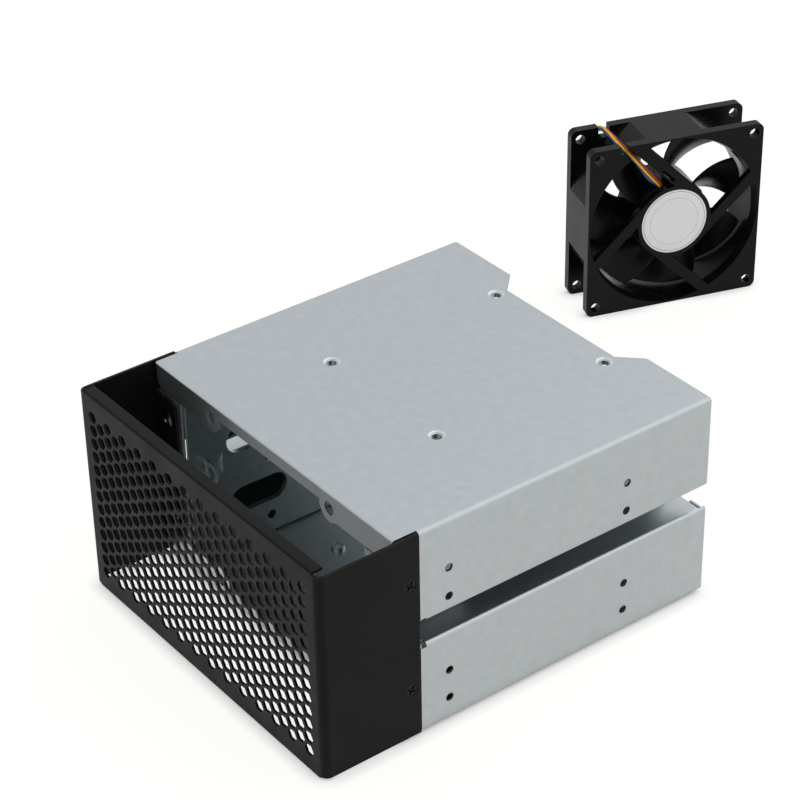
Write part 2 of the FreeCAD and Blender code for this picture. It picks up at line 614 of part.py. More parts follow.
def frame_cuts():
    """Tools for the frame: screw holes, label recess, strut window and lead notches."""
    half = FAN_PITCH / 2
    tools = [rod(FAN_HOLE_R, V(a * half, b * half, -1), V(a * half, b * half, FAN_DEPTH + 1))
             for a in (-1, 1) for b in (-1, 1)]
    tools.append(rod(LABEL_R + LABEL_CLEAR, V(0, 0, FAN_DEPTH - LABEL_RECESS), V(0, 0, FAN_DEPTH + 1)))
    tools.append(rod(BEARING_R + TUBE_WALL, V(0, 0, FAN_DEPTH - 2 * HUB_PLATE_T), V(0, 0, FAN_DEPTH)))
    plate_z = FAN_DEPTH - HUB_PLATE_T
    tools.append(rod(BOARD_R + BOARD_CLEAR, V(0, 0, 0), V(0, 0, plate_z)))
    window = box(WINDOW_FROM, WINDOW_TO, -WINDOW_OUT, -WINDOW_IN, 0, FAN_DEPTH + 1)
    window.rotate(V(0, 0, 0), Z_AXIS, 135)
    tools.append(window)
    slot = 2 * (LEAD_R + LEAD_SLOT_CLEAR)
    crossing = LEAD_ROUTE[5]
    edge = FAN_W / 2
    wider = BACK_NOTCH_WIDER
    tools.append(box(crossing.x - slot / 2 - wider, crossing.x + slot / 2, crossing.y - slot / 2 - wider,
                     edge + 1, -1, FAN_FLANGE + 1))
    tools.append(box(crossing.x - slot / 2, crossing.x + slot / 2, crossing.y - slot / 2, edge + 1,
                     FAN_DEPTH - LEAD_SLOT_DEEP, FAN_DEPTH + 1))
    a, b = LEAD_ROUTE[2], LEAD_ROUTE[3]
    a, b = V(a.x, a.y, 0), V(b.x, b.y, 0)
    along = (b - a).normalize()
    across = V(-along.y, along.x, 0) * (slot / 2)
    start, end = a, b + along * 4
    quad = [start + across, start - across, end - across, end + across]
    quad = [V(p.x, p.y, FAN_DEPTH - LEAD_SLOT_DEEP) for p in quad]
    tools.append(Part.Face(Part.makePolygon(quad + quad[:1])).extrude(V(0, 0, LEAD_SLOT_DEEP + 1)))
    return tools


def ring(inner, outer, z0, z1):
    """A plain ring about the fan's axis."""
    return rod(outer, V(0, 0, z0), V(0, 0, z1)).cut(rod(inner, V(0, 0, z0 - 1), V(0, 0, z1 + 1)))


def fan_fixed():
    """Frame, label, bearing tube, bearings, spring, stator and board."""
    label_floor = FAN_DEPTH - LABEL_RECESS
    tube_top = label_floor - TUBE_CLEAR
    tube_out = BEARING_R + TUBE_WALL
    front_z = tube_top - FRONT_BEARING_SHOULDER - BEARING_T
    rear_z = REAR_BEARING_Z
    bore = SHAFT_R + SHAFT_RUNNING_GAP
    tube = rod(tube_out, V(0, 0, rear_z - REAR_BEARING_RIM), V(0, 0, tube_top))
    spring_z = rear_z + BEARING_T
    tube = tube.cut([rod(BEARING_R, V(0, 0, rear_z - 2), V(0, 0, spring_z + SPRING_T)),
                     rod(SHOULDER_R, V(0, 0, 0), V(0, 0, FAN_DEPTH)),
                     rod(BEARING_R, V(0, 0, front_z), V(0, 0, FAN_DEPTH))])
    board_z = FAN_DEPTH - HUB_PLATE_T - BOARD_T
    return {
        "fan_frame": fan_frame(),
        "hub_label": rod(LABEL_R, V(0, 0, label_floor), V(0, 0, label_floor + LABEL_T)),
        "bearing_tube": tube,
        "front_bearing": ring(bore, BEARING_R, front_z, front_z + BEARING_T),
        "rear_bearing": ring(bore, BEARING_R, rear_z, rear_z + BEARING_T),
        "bearing_spring": ring(SHOULDER_R, BEARING_R - 0.2, spring_z, spring_z + SPRING_T),
        "stator_core": stator_core(tube_out),
        "stator_coils": stator_coils(tube_out),
        "driver_board": ring(tube_out, BOARD_R, board_z, board_z + BOARD_T),
    }


def stator_radius():
    """Outside of the stator: inside the magnet, less the air gap."""
    return ROTOR_CUP_R - ROTOR_WALL - MAGNET_T - AIR_GAP


def stator_core(inner):
    """Four T-shaped poles about the bearing tube."""
    outer = stator_radius()
    hub = ring(inner, inner + STATOR_HUB_WALL, STATOR_Z0, STATOR_Z1)
    shoes = ring(outer - POLE_SHOE, outer, STATOR_Z0, STATOR_Z1)
    gaps = []
    for k in range(POLES):
        slot = box(0, 2 * outer, -POLE_SLOT / 2, POLE_SLOT / 2, STATOR_Z0 - 1, STATOR_Z1 + 1)
        slot.rotate(V(0, 0, 0), Z_AXIS, (k + 0.5) * 360 / POLES)
        gaps.append(slot)
    shoes = shoes.cut(gaps)
    necks = []
    for k in range(POLES):
        neck = box(inner + 1, outer - POLE_SHOE / 2, -POLE_NECK / 2, POLE_NECK / 2, STATOR_Z0, STATOR_Z1)
        neck.rotate(V(0, 0, 0), Z_AXIS, k * 360 / POLES)
        necks.append(neck)
    return joined([hub, shoes] + necks)


def stator_coils(inner):
    """One winding round each pole's neck."""
    half = POLE_NECK / 2 + COIL_BUILD
    start = inner + STATOR_HUB_WALL + COIL_CLEAR
    end = math.sqrt((stator_radius() - POLE_SHOE) ** 2 - half ** 2) - COIL_CLEAR
    coils = []
    for k in range(POLES):
        winding = box(start, end, -half, half, STATOR_Z0 - COIL_BUILD, STATOR_Z1 + COIL_BUILD)
        winding = round_edges(winding, X_AXIS, [V(start, a * half, z) for a in (-1, 1)
                              for z in (STATOR_Z0 - COIL_BUILD, STATOR_Z1 + COIL_BUILD)], COIL_BUILD * 0.9)
        core = box(start - 1, end + 1, -POLE_NECK / 2, POLE_NECK / 2, STATOR_Z0, STATOR_Z1)
        winding = winding.cut(core)
        winding.rotate(V(0, 0, 0), Z_AXIS, k * 360 / POLES)
        coils.append(winding)
    return Part.makeCompound(coils)


# ---- Fan: rotor -----------------------------------------------------------------------------------------------------------------
def blade_section(radius, lead_deg, span_deg, low, high, thick):
    """Closed wire across a blade at one radius: a cambered strip from its low to its high edge."""
    def at(fraction, lift):
        angle = math.radians(lead_deg + span_deg * fraction)
        height = low + (high - low) * fraction + lift
        return V(radius * math.cos(angle), radius * math.sin(angle), height)
    half = thick / 2
    upper = [at(0, half), at(0.5, half + BLADE_CAMBER), at(1, half)]
    lower = [at(1, -half), at(0.5, -half + BLADE_CAMBER), at(0, -half)]
    edges = [Part.Arc(*upper).toShape(), Part.makeLine(upper[2], lower[0]),
             Part.Arc(*lower).toShape(), Part.makeLine(lower[2], upper[0])]
    return Part.Wire(edges)


def blade():
    """One swept, twisted blade, lofted through three sections and trimmed at its tip."""
    low, high = ROTOR_BACK + BLADE_LOW, ROTOR_RIM - BLADE_HIGH
    sections = [blade_section(radius, start, span, low + up, high - down, thick)
                for radius, start, span, up, down, thick in BLADE_SECTIONS]
    solid = Part.makeLoft(sections, True, False)
    return solid.common(ring(BLADE_ROOT_R, BLADE_TIP_R, 0, FAN_DEPTH))


def fan_rotor():
    """Impeller, steel cup, magnet, shaft and its clip."""
    back, rim = ROTOR_BACK, ROTOR_RIM
    cup_floor = back + ROTOR_CAP
    hub = rod(ROTOR_HUB_R, V(0, 0, back), V(0, 0, rim))
    hub = round_edges_ring(hub, ROTOR_HUB_R, back, ROTOR_EDGE_R)
    hub = hub.cut(rod(ROTOR_CUP_R + CUP_FIT, V(0, 0, cup_floor), V(0, 0, rim + 1)))
    boss_top = REAR_BEARING_Z - BOARD_CLEAR / 3
    boss = rod(SHAFT_BOSS_R, V(0, 0, cup_floor - EPS), V(0, 0, boss_top))
    bore = rod(SHAFT_R, V(0, 0, back + SHAFT_SEAT), V(0, 0, FAN_DEPTH))
    blades = []
    for k in range(BLADES):
        one = blade()
        one.rotate(V(0, 0, 0), Z_AXIS, k * 360 / BLADES + BLADE_TURN)
        blades.append(one)
    impeller = joined([hub, boss] + blades).cut(bore)
    cup = ring(ROTOR_CUP_R - ROTOR_WALL, ROTOR_CUP_R, cup_floor, rim - CUP_RIM_STEP)
    cup = joined([cup, ring(SHAFT_BOSS_R, ROTOR_CUP_R, cup_floor, cup_floor + CUP_FLOOR_T)])
    shaft_end = FAN_DEPTH - LABEL_RECESS - SHAFT_END_CLEAR
    groove_z = shaft_end - GROOVE_FROM_END
    shaft = rod(SHAFT_R, V(0, 0, back + SHAFT_SEAT), V(0, 0, shaft_end))
    shaft = shaft.cut(ring(GROOVE_R, SHAFT_R + 1, groove_z, groove_z + GROOVE_W))
    clip = ring(GROOVE_R, CLIP_R, groove_z + SHAFT_RUNNING_GAP, groove_z + GROOVE_W - SHAFT_RUNNING_GAP)
    clip = clip.cut(box(0, CLIP_R + 1, -CLIP_MOUTH / 2, CLIP_MOUTH / 2, groove_z - 1, groove_z + 1))
    magnet = ring(ROTOR_CUP_R - ROTOR_WALL - MAGNET_T, ROTOR_CUP_R - ROTOR_WALL - CUP_FIT,
                  MAGNET_Z0, MAGNET_Z1)
    return {"fan_impeller": impeller, "rotor_cup": cup, "rotor_magnet": magnet,
            "fan_shaft": shaft, "shaft_clip": clip}


def round_edges_ring(shape, radius, z, fillet):
    """Round the circular edge of the given radius at height z."""
    edges = [e for e in shape.Edges if isinstance(e.Curve, Part.Circle)
             and abs(e.Curve.Radius - radius) < EPS and abs(e.Curve.Center.z - z) < EPS]
    return shape.makeFillet(fillet, edges)


# ---- Fan: lead -----------------------------------------------------------------------------------------------------------------------
def lead_tube():
    """The lead from the hub to the coil: straight runs joined by tangent arcs."""
    points = list(LEAD_ROUTE)
    edges, here, radii = [], points[0], []
    for before, corner, after in zip(points, points[1:], points[2:]):
        back, ahead = before - corner, after - corner
        turn = math.pi - back.getAngle(ahead)
        shorter = min(back.Length, ahead.Length)
        trim = 0.45 * shorter
        radii.append(trim / math.tan(turn / 2))
        start = corner + V(back).normalize() * trim
        end = corner + V(ahead).normalize() * trim
        bisector = (V(back).normalize() + V(ahead).normalize()).normalize()
        depth = radii[-1] / math.cos(turn / 2) - radii[-1]
        edges.append(Part.makeLine(here, start))
        edges.append(Part.Arc(start, corner + bisector * depth, end).toShape())
        here = end
    edges.append(Part.makeLine(here, points[-1]))
    path = Part.Wire(edges)
    heading = (points[1] - points[0]).normalize()
    circle = Part.Wire(Part.makeCircle(LEAD_R, points[0], heading))
    tube = path.makePipeShell([circle], True, False)
    length = path.Length
    print("lead radii", [round(r, 1) for r in radii], "length", round(length, 1))
    print("lead volume ratio", round(tube.Volume / (math.pi * LEAD_R ** 2 * length), 4))
    return tube


def fan_lead():
    """Lead, its put-away coil, and the connector on its end."""
    floor = -FAN_W / 2
    inner, outer = COIL_R - COIL_HALF_T, COIL_R + COIL_HALF_T
    low, high = V(COIL_X, floor, COIL_Z), V(COIL_X, floor + COIL_H, COIL_Z)
    coil = rod(outer, low, high).cut(rod(inner, low - Y_AXIS, high + Y_AXIS))
    tail_start = V(COIL_X + outer, floor + LEAD_R, COIL_Z)
    tail = rod(LEAD_R, tail_start, tail_start + X_AXIS * TAIL_LEN)
    plug_x = COIL_X + outer + TAIL_LEN
    body = box(plug_x, plug_x + PLUG_L, floor, floor + PLUG_H, COIL_Z - PLUG_W / 2, COIL_Z + PLUG_W / 2)
    half, deep = PLUG_SOCKET / 2, plug_x + PLUG_L - PLUG_SOCKET_DEPTH
    sockets = []
    for k in range(PLUG_PINS):
        z = COIL_Z + (k - (PLUG_PINS - 1) / 2) * PLUG_PITCH
        y = floor + PLUG_H / 2
        sockets.append(box(deep, plug_x + PLUG_L + 1, y - half, y + half, z - half, z + half))
    return {"fan_lead": Part.makeCompound([lead_tube(), tail]), "lead_coil": coil,
            "lead_plug": body.cut(sockets)}


# ---- Assembly ------------------------------------------------------------------------------------------------------------------------------
def fan_placement():
    """Stands the fan on the floor with its strut face turned to FAN_YAW."""
    yaw = math.radians(FAN_YAW)
    normal = V(math.sin(yaw), -math.cos(yaw), 0)
    right = Z_AXIS.cross(normal)
    origin = FAN_FOOT + Z_AXIS * (FAN_W / 2) - normal * FAN_DEPTH
    return FreeCAD.Placement(origin, FreeCAD.Rotation(right, Z_AXIS, normal, "ZXY"))


def fan():
    """Every fan piece, placed where the fan stands."""
    place = fan_placement()
    for name, shape in {**fan_fixed(), **fan_rotor(), **fan_lead()}.items():
        shape.Placement = place.multiply(shape.Placement)
        PARTS[name] = shape


def main():
    """Build every piece and write one STEP file for each."""
    cage_shells()
    drive_walls()
    front_bezel()
    bezel_angles()
    fasteners()
    fan()
    os.makedirs("parts", exist_ok=True)
    for name, shape in PARTS.items():
        print(f"{name:20s} valid {shape.isValid()} solids {len(shape.Solids)} "
              f"volume {shape.Volume:.1f}")
        shape.exportStep(f"parts/{name}.step")


if __name__ == "__main__":
    main()
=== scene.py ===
"""Looks for the hot swap drive cage and its loose fan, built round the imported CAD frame.

The script loads the frame, makes the camera and the fan's lead, gives every CAD node a
procedural finish, and adds the fine pieces that the CAD leaves out: the lead's strands, the
plug's contacts, the screws and their threads, rivet mandrels, hole linings and rims, the backs
of the walls' tabs, windings, bearings, a spring, the board's parts and the label's rings.
Places are in metres and the classes' sizes in millimetres, as each says. +X is right as one
faces the grille, -Y is the front, +Z is up.
"""

import json
import logging
import math
from dataclasses import dataclass
from enum import Enum
from typing import Iterable, Sequence

import bpy
import numpy as np
from mathutils import Matrix, Vector

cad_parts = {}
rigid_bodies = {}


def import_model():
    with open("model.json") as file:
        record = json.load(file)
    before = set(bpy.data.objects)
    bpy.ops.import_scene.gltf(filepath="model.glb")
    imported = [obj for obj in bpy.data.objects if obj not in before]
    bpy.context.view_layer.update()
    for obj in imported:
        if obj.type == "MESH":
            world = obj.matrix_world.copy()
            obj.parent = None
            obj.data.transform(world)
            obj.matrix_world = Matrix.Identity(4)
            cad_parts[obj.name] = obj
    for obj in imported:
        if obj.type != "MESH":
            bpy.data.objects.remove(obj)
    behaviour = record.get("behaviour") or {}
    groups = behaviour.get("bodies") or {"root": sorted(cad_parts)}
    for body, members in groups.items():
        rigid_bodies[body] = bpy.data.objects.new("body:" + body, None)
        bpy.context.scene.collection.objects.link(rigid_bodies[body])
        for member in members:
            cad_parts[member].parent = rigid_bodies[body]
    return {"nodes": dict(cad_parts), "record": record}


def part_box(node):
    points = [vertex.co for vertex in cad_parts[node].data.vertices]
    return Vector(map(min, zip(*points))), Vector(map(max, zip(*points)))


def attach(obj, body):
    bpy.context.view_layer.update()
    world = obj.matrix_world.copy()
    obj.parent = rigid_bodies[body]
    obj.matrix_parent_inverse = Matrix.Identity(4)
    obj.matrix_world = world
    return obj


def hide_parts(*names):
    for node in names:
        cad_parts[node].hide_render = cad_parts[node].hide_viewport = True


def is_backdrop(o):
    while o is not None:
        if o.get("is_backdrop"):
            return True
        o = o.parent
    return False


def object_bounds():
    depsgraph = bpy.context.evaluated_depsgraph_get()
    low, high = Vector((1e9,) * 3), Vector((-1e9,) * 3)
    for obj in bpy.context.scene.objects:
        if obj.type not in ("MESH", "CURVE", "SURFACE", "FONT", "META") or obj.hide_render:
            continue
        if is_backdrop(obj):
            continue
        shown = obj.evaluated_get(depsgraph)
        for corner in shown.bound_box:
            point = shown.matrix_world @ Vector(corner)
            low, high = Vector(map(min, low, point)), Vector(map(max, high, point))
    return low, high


LOG = logging.getLogger("drive_cage")
MM = 0.001
CAGE = "cage"
FAN_DEPTH = 25.0                    # the fan from its back face to its strut face, in millimetres
SHARP_FROM = math.radians(35)       # faces that meet at less are shaded as one
ROUND_STEPS = (0, 30, 60, 90)       # degrees along a rounded corner
TINY = 1e-9


class Wire(Enum):
    """The lead's four wires, in their order round the bundle."""

    BLUE = "wire_blue"
    YELLOW = "wire_yellow"
    RED = "wire_red"
    BLACK = "wire_black"


# ---- Meshes ---------------------------------------------------------------------------------


class Shell:
    """Points and faces of one piece, gathered patch by patch."""

    def __init__(self) -> None:
        """Starts with no points."""
        self.points: list[np.ndarray] = []
        self.faces: list[tuple[int, ...]] = []
        self.paint: list[int] = []
        self.count = 0

    def _take(self, points: np.ndarray, faces: list[tuple[int, ...]], paint: int) -> None:
        """Adds one closed patch, turned so that its faces point outwards.

        Args:
            points: the patch's points, shape (points, 3).
            faces: its faces, as indices of its own points.
            paint: index of the material slot that the faces take.
        """
        if signed_volume(points, faces) < 0:
            faces = [face[::-1] for face in faces]
        self.points.append(points)
        self.faces += [tuple(i + self.count for i in face) for face in faces]
        self.paint += [paint] * len(faces)
        self.count += len(points)

    def torus(self, rings: np.ndarray, paint: int = 0) -> None:
        """Adds a surface whose loops close round, and whose last loop joins the first.

        Args:
            rings: loops of points, shape (loops, points, 3).
            paint: index of the material slot that the faces take.
        """
        loops, around, _ = rings.shape
        faces = quads(loops, around, True)
        self._take(rings.reshape(-1, 3), faces, paint)

    def loft(self, rings: np.ndarray, paint: int = 0) -> None:
        """Adds a surface through loops, closed at both ends by a fan to the loop's middle.

        Args:
            rings: loops of points, shape (loops, points, 3).
            paint: index of the material slot that the faces take.
        """
        loops, around, _ = rings.shape
        faces = quads(loops, around, False)
        points = np.vstack([rings.reshape(-1, 3), rings[0].mean(0), rings[-1].mean(0)])
        first, last = loops * around, loops * around + 1
        for j in range(around):
            k = (j + 1) % around
            faces.append((first, k, j))
            faces.append((last, (loops - 1) * around + j, (loops - 1) * around + k))
        self._take(points, faces, paint)

    def build(self, name: str, smooth: bool = True) -> bpy.types.Object:
        """Makes the mesh object.

        Args:
            name: the piece's name.
            smooth: whether its faces are shaded smooth, with sharp edges kept at 35 degrees.

        Returns:
            The object, at the origin, linked to the scene.
        """
        mesh = bpy.data.meshes.new(name)
        mesh.from_pydata(np.vstack(self.points).tolist(), [], self.faces)
        mesh.polygons.foreach_set("material_index", self.paint)
        if smooth:
            mesh.shade_smooth()
            mesh.set_sharp_from_angle(angle=SHARP_FROM)
        mesh.update()
        piece = bpy.data.objects.new(name, mesh)
        bpy.context.scene.collection.objects.link(piece)
        LOG.info("%s: %d points, %d faces", name, self.count, len(self.faces))
        return piece


def quads(loops: int, around: int, joined: bool) -> list[tuple[int, ...]]:
    """Faces between neighbouring loops, the last loop also joined to the first if asked.

    Args:
        loops: number of loops.
        around: points in a loop.
        joined: whether the last loop is joined to the first.

    Returns:
        Faces as indices of the points, taken loop after loop.
    """
    rows = loops if joined else loops - 1
    faces = []
    for i in range(rows):
        a, b = i * around, (i + 1) % loops * around
        for j in range(around):
            k = (j + 1) % around
            faces.append((a + j, a + k, b + k, b + j))
    return faces


def signed_volume(points: np.ndarray, faces: Iterable[Sequence[int]]) -> float:
    """Volume inside closed faces, the sum of a . (b x c) / 6, below zero where they point in.

    Args:
        points: the patch's points.
        faces: its faces, as indices of the points.

    Returns:
        The volume, in the points' own unit cubed.
    """
    total = 0.0
    origin = points.mean(0)
    for face in faces:
        a = points[face[0]] - origin
        for i, j in zip(face[1:-1], face[2:]):
            total += float(np.dot(a, np.cross(points[i] - origin, points[j] - origin)))
    return total / 6


@dataclass(frozen=True)
class Place:
    """A right-handed set of axes at a point, in the row frame."""

    origin: np.ndarray
    x: np.ndarray
    y: np.ndarray
    z: np.ndarray

    @staticmethod
    def along(origin: Sequence[float], axis: Sequence[float]) -> "Place":
        """Axes at a point, Z along the given axis and Y as near to up as it can be.

        Args:
            origin: the point.
            axis: the direction that Z takes.

        Returns:
            The place. A vertical axis takes +Y of the row frame for its Y.
        """
        z = np.array(axis, float) / np.linalg.norm(axis)
        up = np.array((0.0, 0.0, 1.0)) if abs(z[2]) < 0.9 else np.array((0.0, 1.0, 0.0))
        x = np.cross(up, z)
        x /= np.linalg.norm(x)
        return Place(np.array(origin, float), x, np.cross(z, x), z)

    def at(self, local: np.ndarray) -> np.ndarray:
        """Points of this place's own frame, in metres, carried to the row frame.

        Args:
            local: one point, or points of shape (points, 3).

        Returns:
            The same in the row frame.
        """
        local = np.asarray(local, float)
        axes = np.array((self.x, self.y, self.z))
        return self.origin + local @ axes

    def moved(self, x: float, y: float, z: float) -> "Place":
        """The same axes, with the origin moved within them."""
        return Place(self.at(np.array((x, y, z))), self.x, self.y, self.z)


def lathe(place: Place, profile: Sequence[tuple[float, float]], around: int = 48) -> np.ndarray:
    """Loops of a turned shape: each (r, z) of the profile is swept round the place's Z.

    The point at turn t of a profile point is (r cos t, r sin t, z).

    Args:
        place: the axis and where z is zero.
        profile: radii and heights, in metres.
        around: points in a loop.

    Returns:
        Loops of points, one for each profile point.
    """
    turn = np.linspace(0, 2 * math.pi, around, endpoint=False)
    loops = [np.column_stack((r * np.cos(turn), r * np.sin(turn), np.full(around, z)))
             for r, z in profile]
    return np.array([place.at(loop) for loop in loops])


def rounded_profile(inner: float, outer: float, low: float, high: float,
                    edge: float) -> list[tuple[float, float]]:
    """A ring's cross-section with its four corners rounded, as radii and heights.

    Args:
        inner: inner radius.
        outer: outer radius.
        low: height of the lower face.
        high: height of the upper face.
        edge: radius of the corners.

    Returns:
        Radii and heights, counter-clockwise from the outer upper corner.
    """
    corners = ((outer, high, 0), (inner, high, 90), (inner, low, 180), (outer, low, 270))
    profile = []
    for r, z, start in corners:
        toward_r = -1 if r == outer else 1
        toward_z = -1 if z == high else 1
        middle_r, middle_z = r + toward_r * edge, z + toward_z * edge
        for step in ROUND_STEPS:
            angle = math.radians(start + step)
            profile.append((middle_r + edge * math.cos(angle), middle_z + edge * math.sin(angle)))
    return profile


def turned_ring(place: Place, radii: tuple[float, float], heights: tuple[float, float],
                edge: float, around: int = 48) -> np.ndarray:
    """Loops of a turned ring with rounded edges, its sizes in millimetres.

    Args:
        place: the ring's axis, and where height is zero.
        radii: inner and outer radius.
        heights: lower and upper face.
        edge: radius of its edges.
        around: points in a loop.

    Returns:
        Loops of points.
    """
    profile = rounded_profile(*radii, *heights, edge)
    return lathe(place, [(r * MM, z * MM) for r, z in profile], around)


def dome(radius: float, height: float, tilts: tuple[float, float], steps: int,
         sunk: float = 0.0) -> list[tuple[float, float]]:
    """Profile of a dome or a ball, (radius cos a, height sin a - sunk), for sizes in millimetres.

    Args:
        radius: half its width, at tilt 0.
        height: how far it rises, at tilt 90.
        tilts: its first and last tilt, in degrees.
        steps: points in the profile.
        sunk: how far it is lowered.

    Returns:
        Radii and heights, in metres.
    """
    return [(radius * MM * math.cos(a), height * MM * math.sin(a) - sunk * MM)
            for a in np.radians(np.linspace(*tilts, steps))]


def follow(path: np.ndarray) -> tuple[np.ndarray, np.ndarray]:
    """Two unit directions square to a path, carried along it without twist.

    Args:
        path: points of the path, in order.

    Returns:
        The side and the over direction at each point.
    """
    along = np.gradient(path, axis=0)
    along /= np.linalg.norm(along, axis=1)[:, None]
    side = np.cross(along[0], (0.0, 0.0, 1.0))
    side /= np.linalg.norm(side)
    sides = []
    for heading in along:
        side = side - heading * np.dot(side, heading)
        side = side / np.linalg.norm(side)
        sides.append(side)
    sides = np.array(sides)
    return sides, np.cross(along, sides)


def tube(path: np.ndarray, radius: float, around: int = 12) -> np.ndarray:
    """Loops of a round tube along a path: p + r (side cos t + over sin t).

    Args:
        path: points of the path, in order.
        radius: the tube's radius.
        around: points in a loop.

    Returns:
        Loops of points, one for each point of the path.
    """
    side, over = follow(path)
    turn = np.linspace(0, 2 * math.pi, around, endpoint=False)
    cos, sin = np.cos(turn)[None, :, None], np.sin(turn)[None, :, None]
    return path[:, None, :] + radius * (side[:, None, :] * cos + over[:, None, :] * sin)


def slab(place: Place, size: tuple[float, float, float], edge: float) -> np.ndarray:
    """Loops of a box with rounded corners, its base on the place's XY plane.

    Each loop is a rectangle whose corners are quarter circles. The loops step in by
    edge (1 - cos a) as they rise by edge (1 - sin a) at the base, and the same at the top.

    Args:
        place: the middle of the base.
        size: across X, across Y, and height along Z.
        edge: radius of all the edges.

    Returns:
        Loops of points from the base to the top.
    """
    quarter = np.radians(ROUND_STEPS)
    steps = [(edge * (1 - math.cos(a)), edge * (1 - math.sin(a))) for a in quarter]
    steps += [(size[2] - z, shrink) for z, shrink in steps[::-1]]
    turn = np.concatenate([quarter + math.pi / 2 * corner for corner in range(4)])
    half_x = np.repeat((1, -1, -1, 1), 4) * (size[0] / 2 - edge)
    half_y = np.repeat((1, 1, -1, -1), 4) * (size[1] / 2 - edge)
    loops = []
    sharpest = edge / 50
    for z, shrink in steps:
        radius = max(edge - shrink, sharpest)
        x, y = half_x + radius * np.cos(turn), half_y + radius * np.sin(turn)
        loops.append(place.at(np.column_stack((x, y, np.full(turn.size, z)))))
    return np.array(loops)


# ---- Finishes -------------------------------------------------------------------------------


NOISE_MIDDLE = (0.3, 0.7)           # part of a noise's range that varies the surface
PATCH_DETAIL, WEAR_DETAIL, GRAIN_DETAIL = 4.0, 5.0, 2.0
WEAR_SIZE = 0.37                    # patches of roughness, as a share of the colour's patches
BUMP_STRENGTH = 0.6
BEVEL_SAMPLES = 4
COAT_ROUGHNESS = 0.25
SMOOTHEST, WHITEST = 0.05, 0.98     # least roughness and greatest colour that a finish takes
EDGE_HIGHLIGHT_RANGE = (0.99, 0.86)           # softened normal . true one, where the painted edge highlight starts and is full
FULL_RANGE = (0.0, 1.0)


class Tree:
    """The nodes of one material or world, with short ways to add and join them."""

    def __init__(self, owner: bpy.types.Material | bpy.types.World) -> None:
        """Switches the owner's nodes on.

        Args:
            owner: the material or world.
        """
        owner.use_nodes = True
        self.nodes = owner.node_tree.nodes
        self.join = owner.node_tree.links.new

    def add(self, kind: str, **settings: object) -> bpy.types.Node:
        """Adds a node.

        Args:
            kind: the node's type, without ShaderNode before it.
            settings: the node's own properties.

        Returns:
            The node.
        """
        node = self.nodes.new("ShaderNode" + kind)
        for name, value in settings.items():
            setattr(node, name, value)
        return node

    def maths(self, operation: str, first: bpy.types.NodeSocket,
              second: bpy.types.NodeSocket) -> bpy.types.NodeSocket:
        """Works out one value from two.

        Args:
            operation: the Math node's operation.
            first: socket of the first value.
            second: socket of the second value.

        Returns:
            The socket with the result.
        """
        node = self.add("Math", operation=operation)
        self.join(first, node.inputs[0])
        self.join(second, node.inputs[1])
        return node.outputs["Value"]

    def ranged(self, value: bpy.types.NodeSocket, start: tuple[float, float],
               end: tuple[float, float]) -> bpy.types.NodeSocket:
        """Carries a value from one range to another, held within it.

        Args:
            value: the value's socket.
            start: the range that it comes from.
            end: the range that it goes to.

        Returns:
            The socket with the new value.
        """
        node = self.add("MapRange")
        for side, low_or_high in (("From", start), ("To", end)):
            node.inputs[side + " Min"].default_value = low_or_high[0]
            node.inputs[side + " Max"].default_value = low_or_high[1]
        self.join(value, node.inputs["Value"])
        return node.outputs["Result"]

    def noise(self, where: bpy.types.NodeSocket, size: float, detail: float) -> bpy.types.NodeSocket:
        """Adds a noise.

        Args:
            where: the coordinates that it reads.
            size: about how wide its patches are, in metres.
            detail: how many finer noises it holds.

        Returns:
            The socket with its value.
        """
        node = self.add("TexNoise")
        node.inputs["Scale"].default_value = 1 / size
        node.inputs["Detail"].default_value = detail
        self.join(where, node.inputs["Vector"])
        return node.outputs["Fac"]

    def seen(self) -> bpy.types.NodeSocket:
        """A switch that is 1 for what the camera sees, straight, mirrored or through glass.

        Returns:
            The switch's socket.
        """
        ray = self.add("LightPath")
        found = ray.outputs["Is Camera Ray"]
        for kind in ("Is Glossy Ray", "Is Transmission Ray"):
            found = self.maths("MAXIMUM", found, ray.outputs[kind])
        return found

    def surface(self, share: bpy.types.NodeSocket, first: bpy.types.NodeSocket,
                second: bpy.types.NodeSocket, output: str) -> None:
        """Mixes two shaders into the tree's surface.

        Args:
            share: how much of the second shader shows.
            first: the first shader.
            second: the second shader.
            output: name of the tree's output node.
        """
        mix = self.add("MixShader")
        self.join(share, mix.inputs["Fac"])
        self.join(first, mix.inputs[1])
        self.join(second, mix.inputs[2])
        self.join(mix.outputs["Shader"], self.nodes[output].inputs["Surface"])


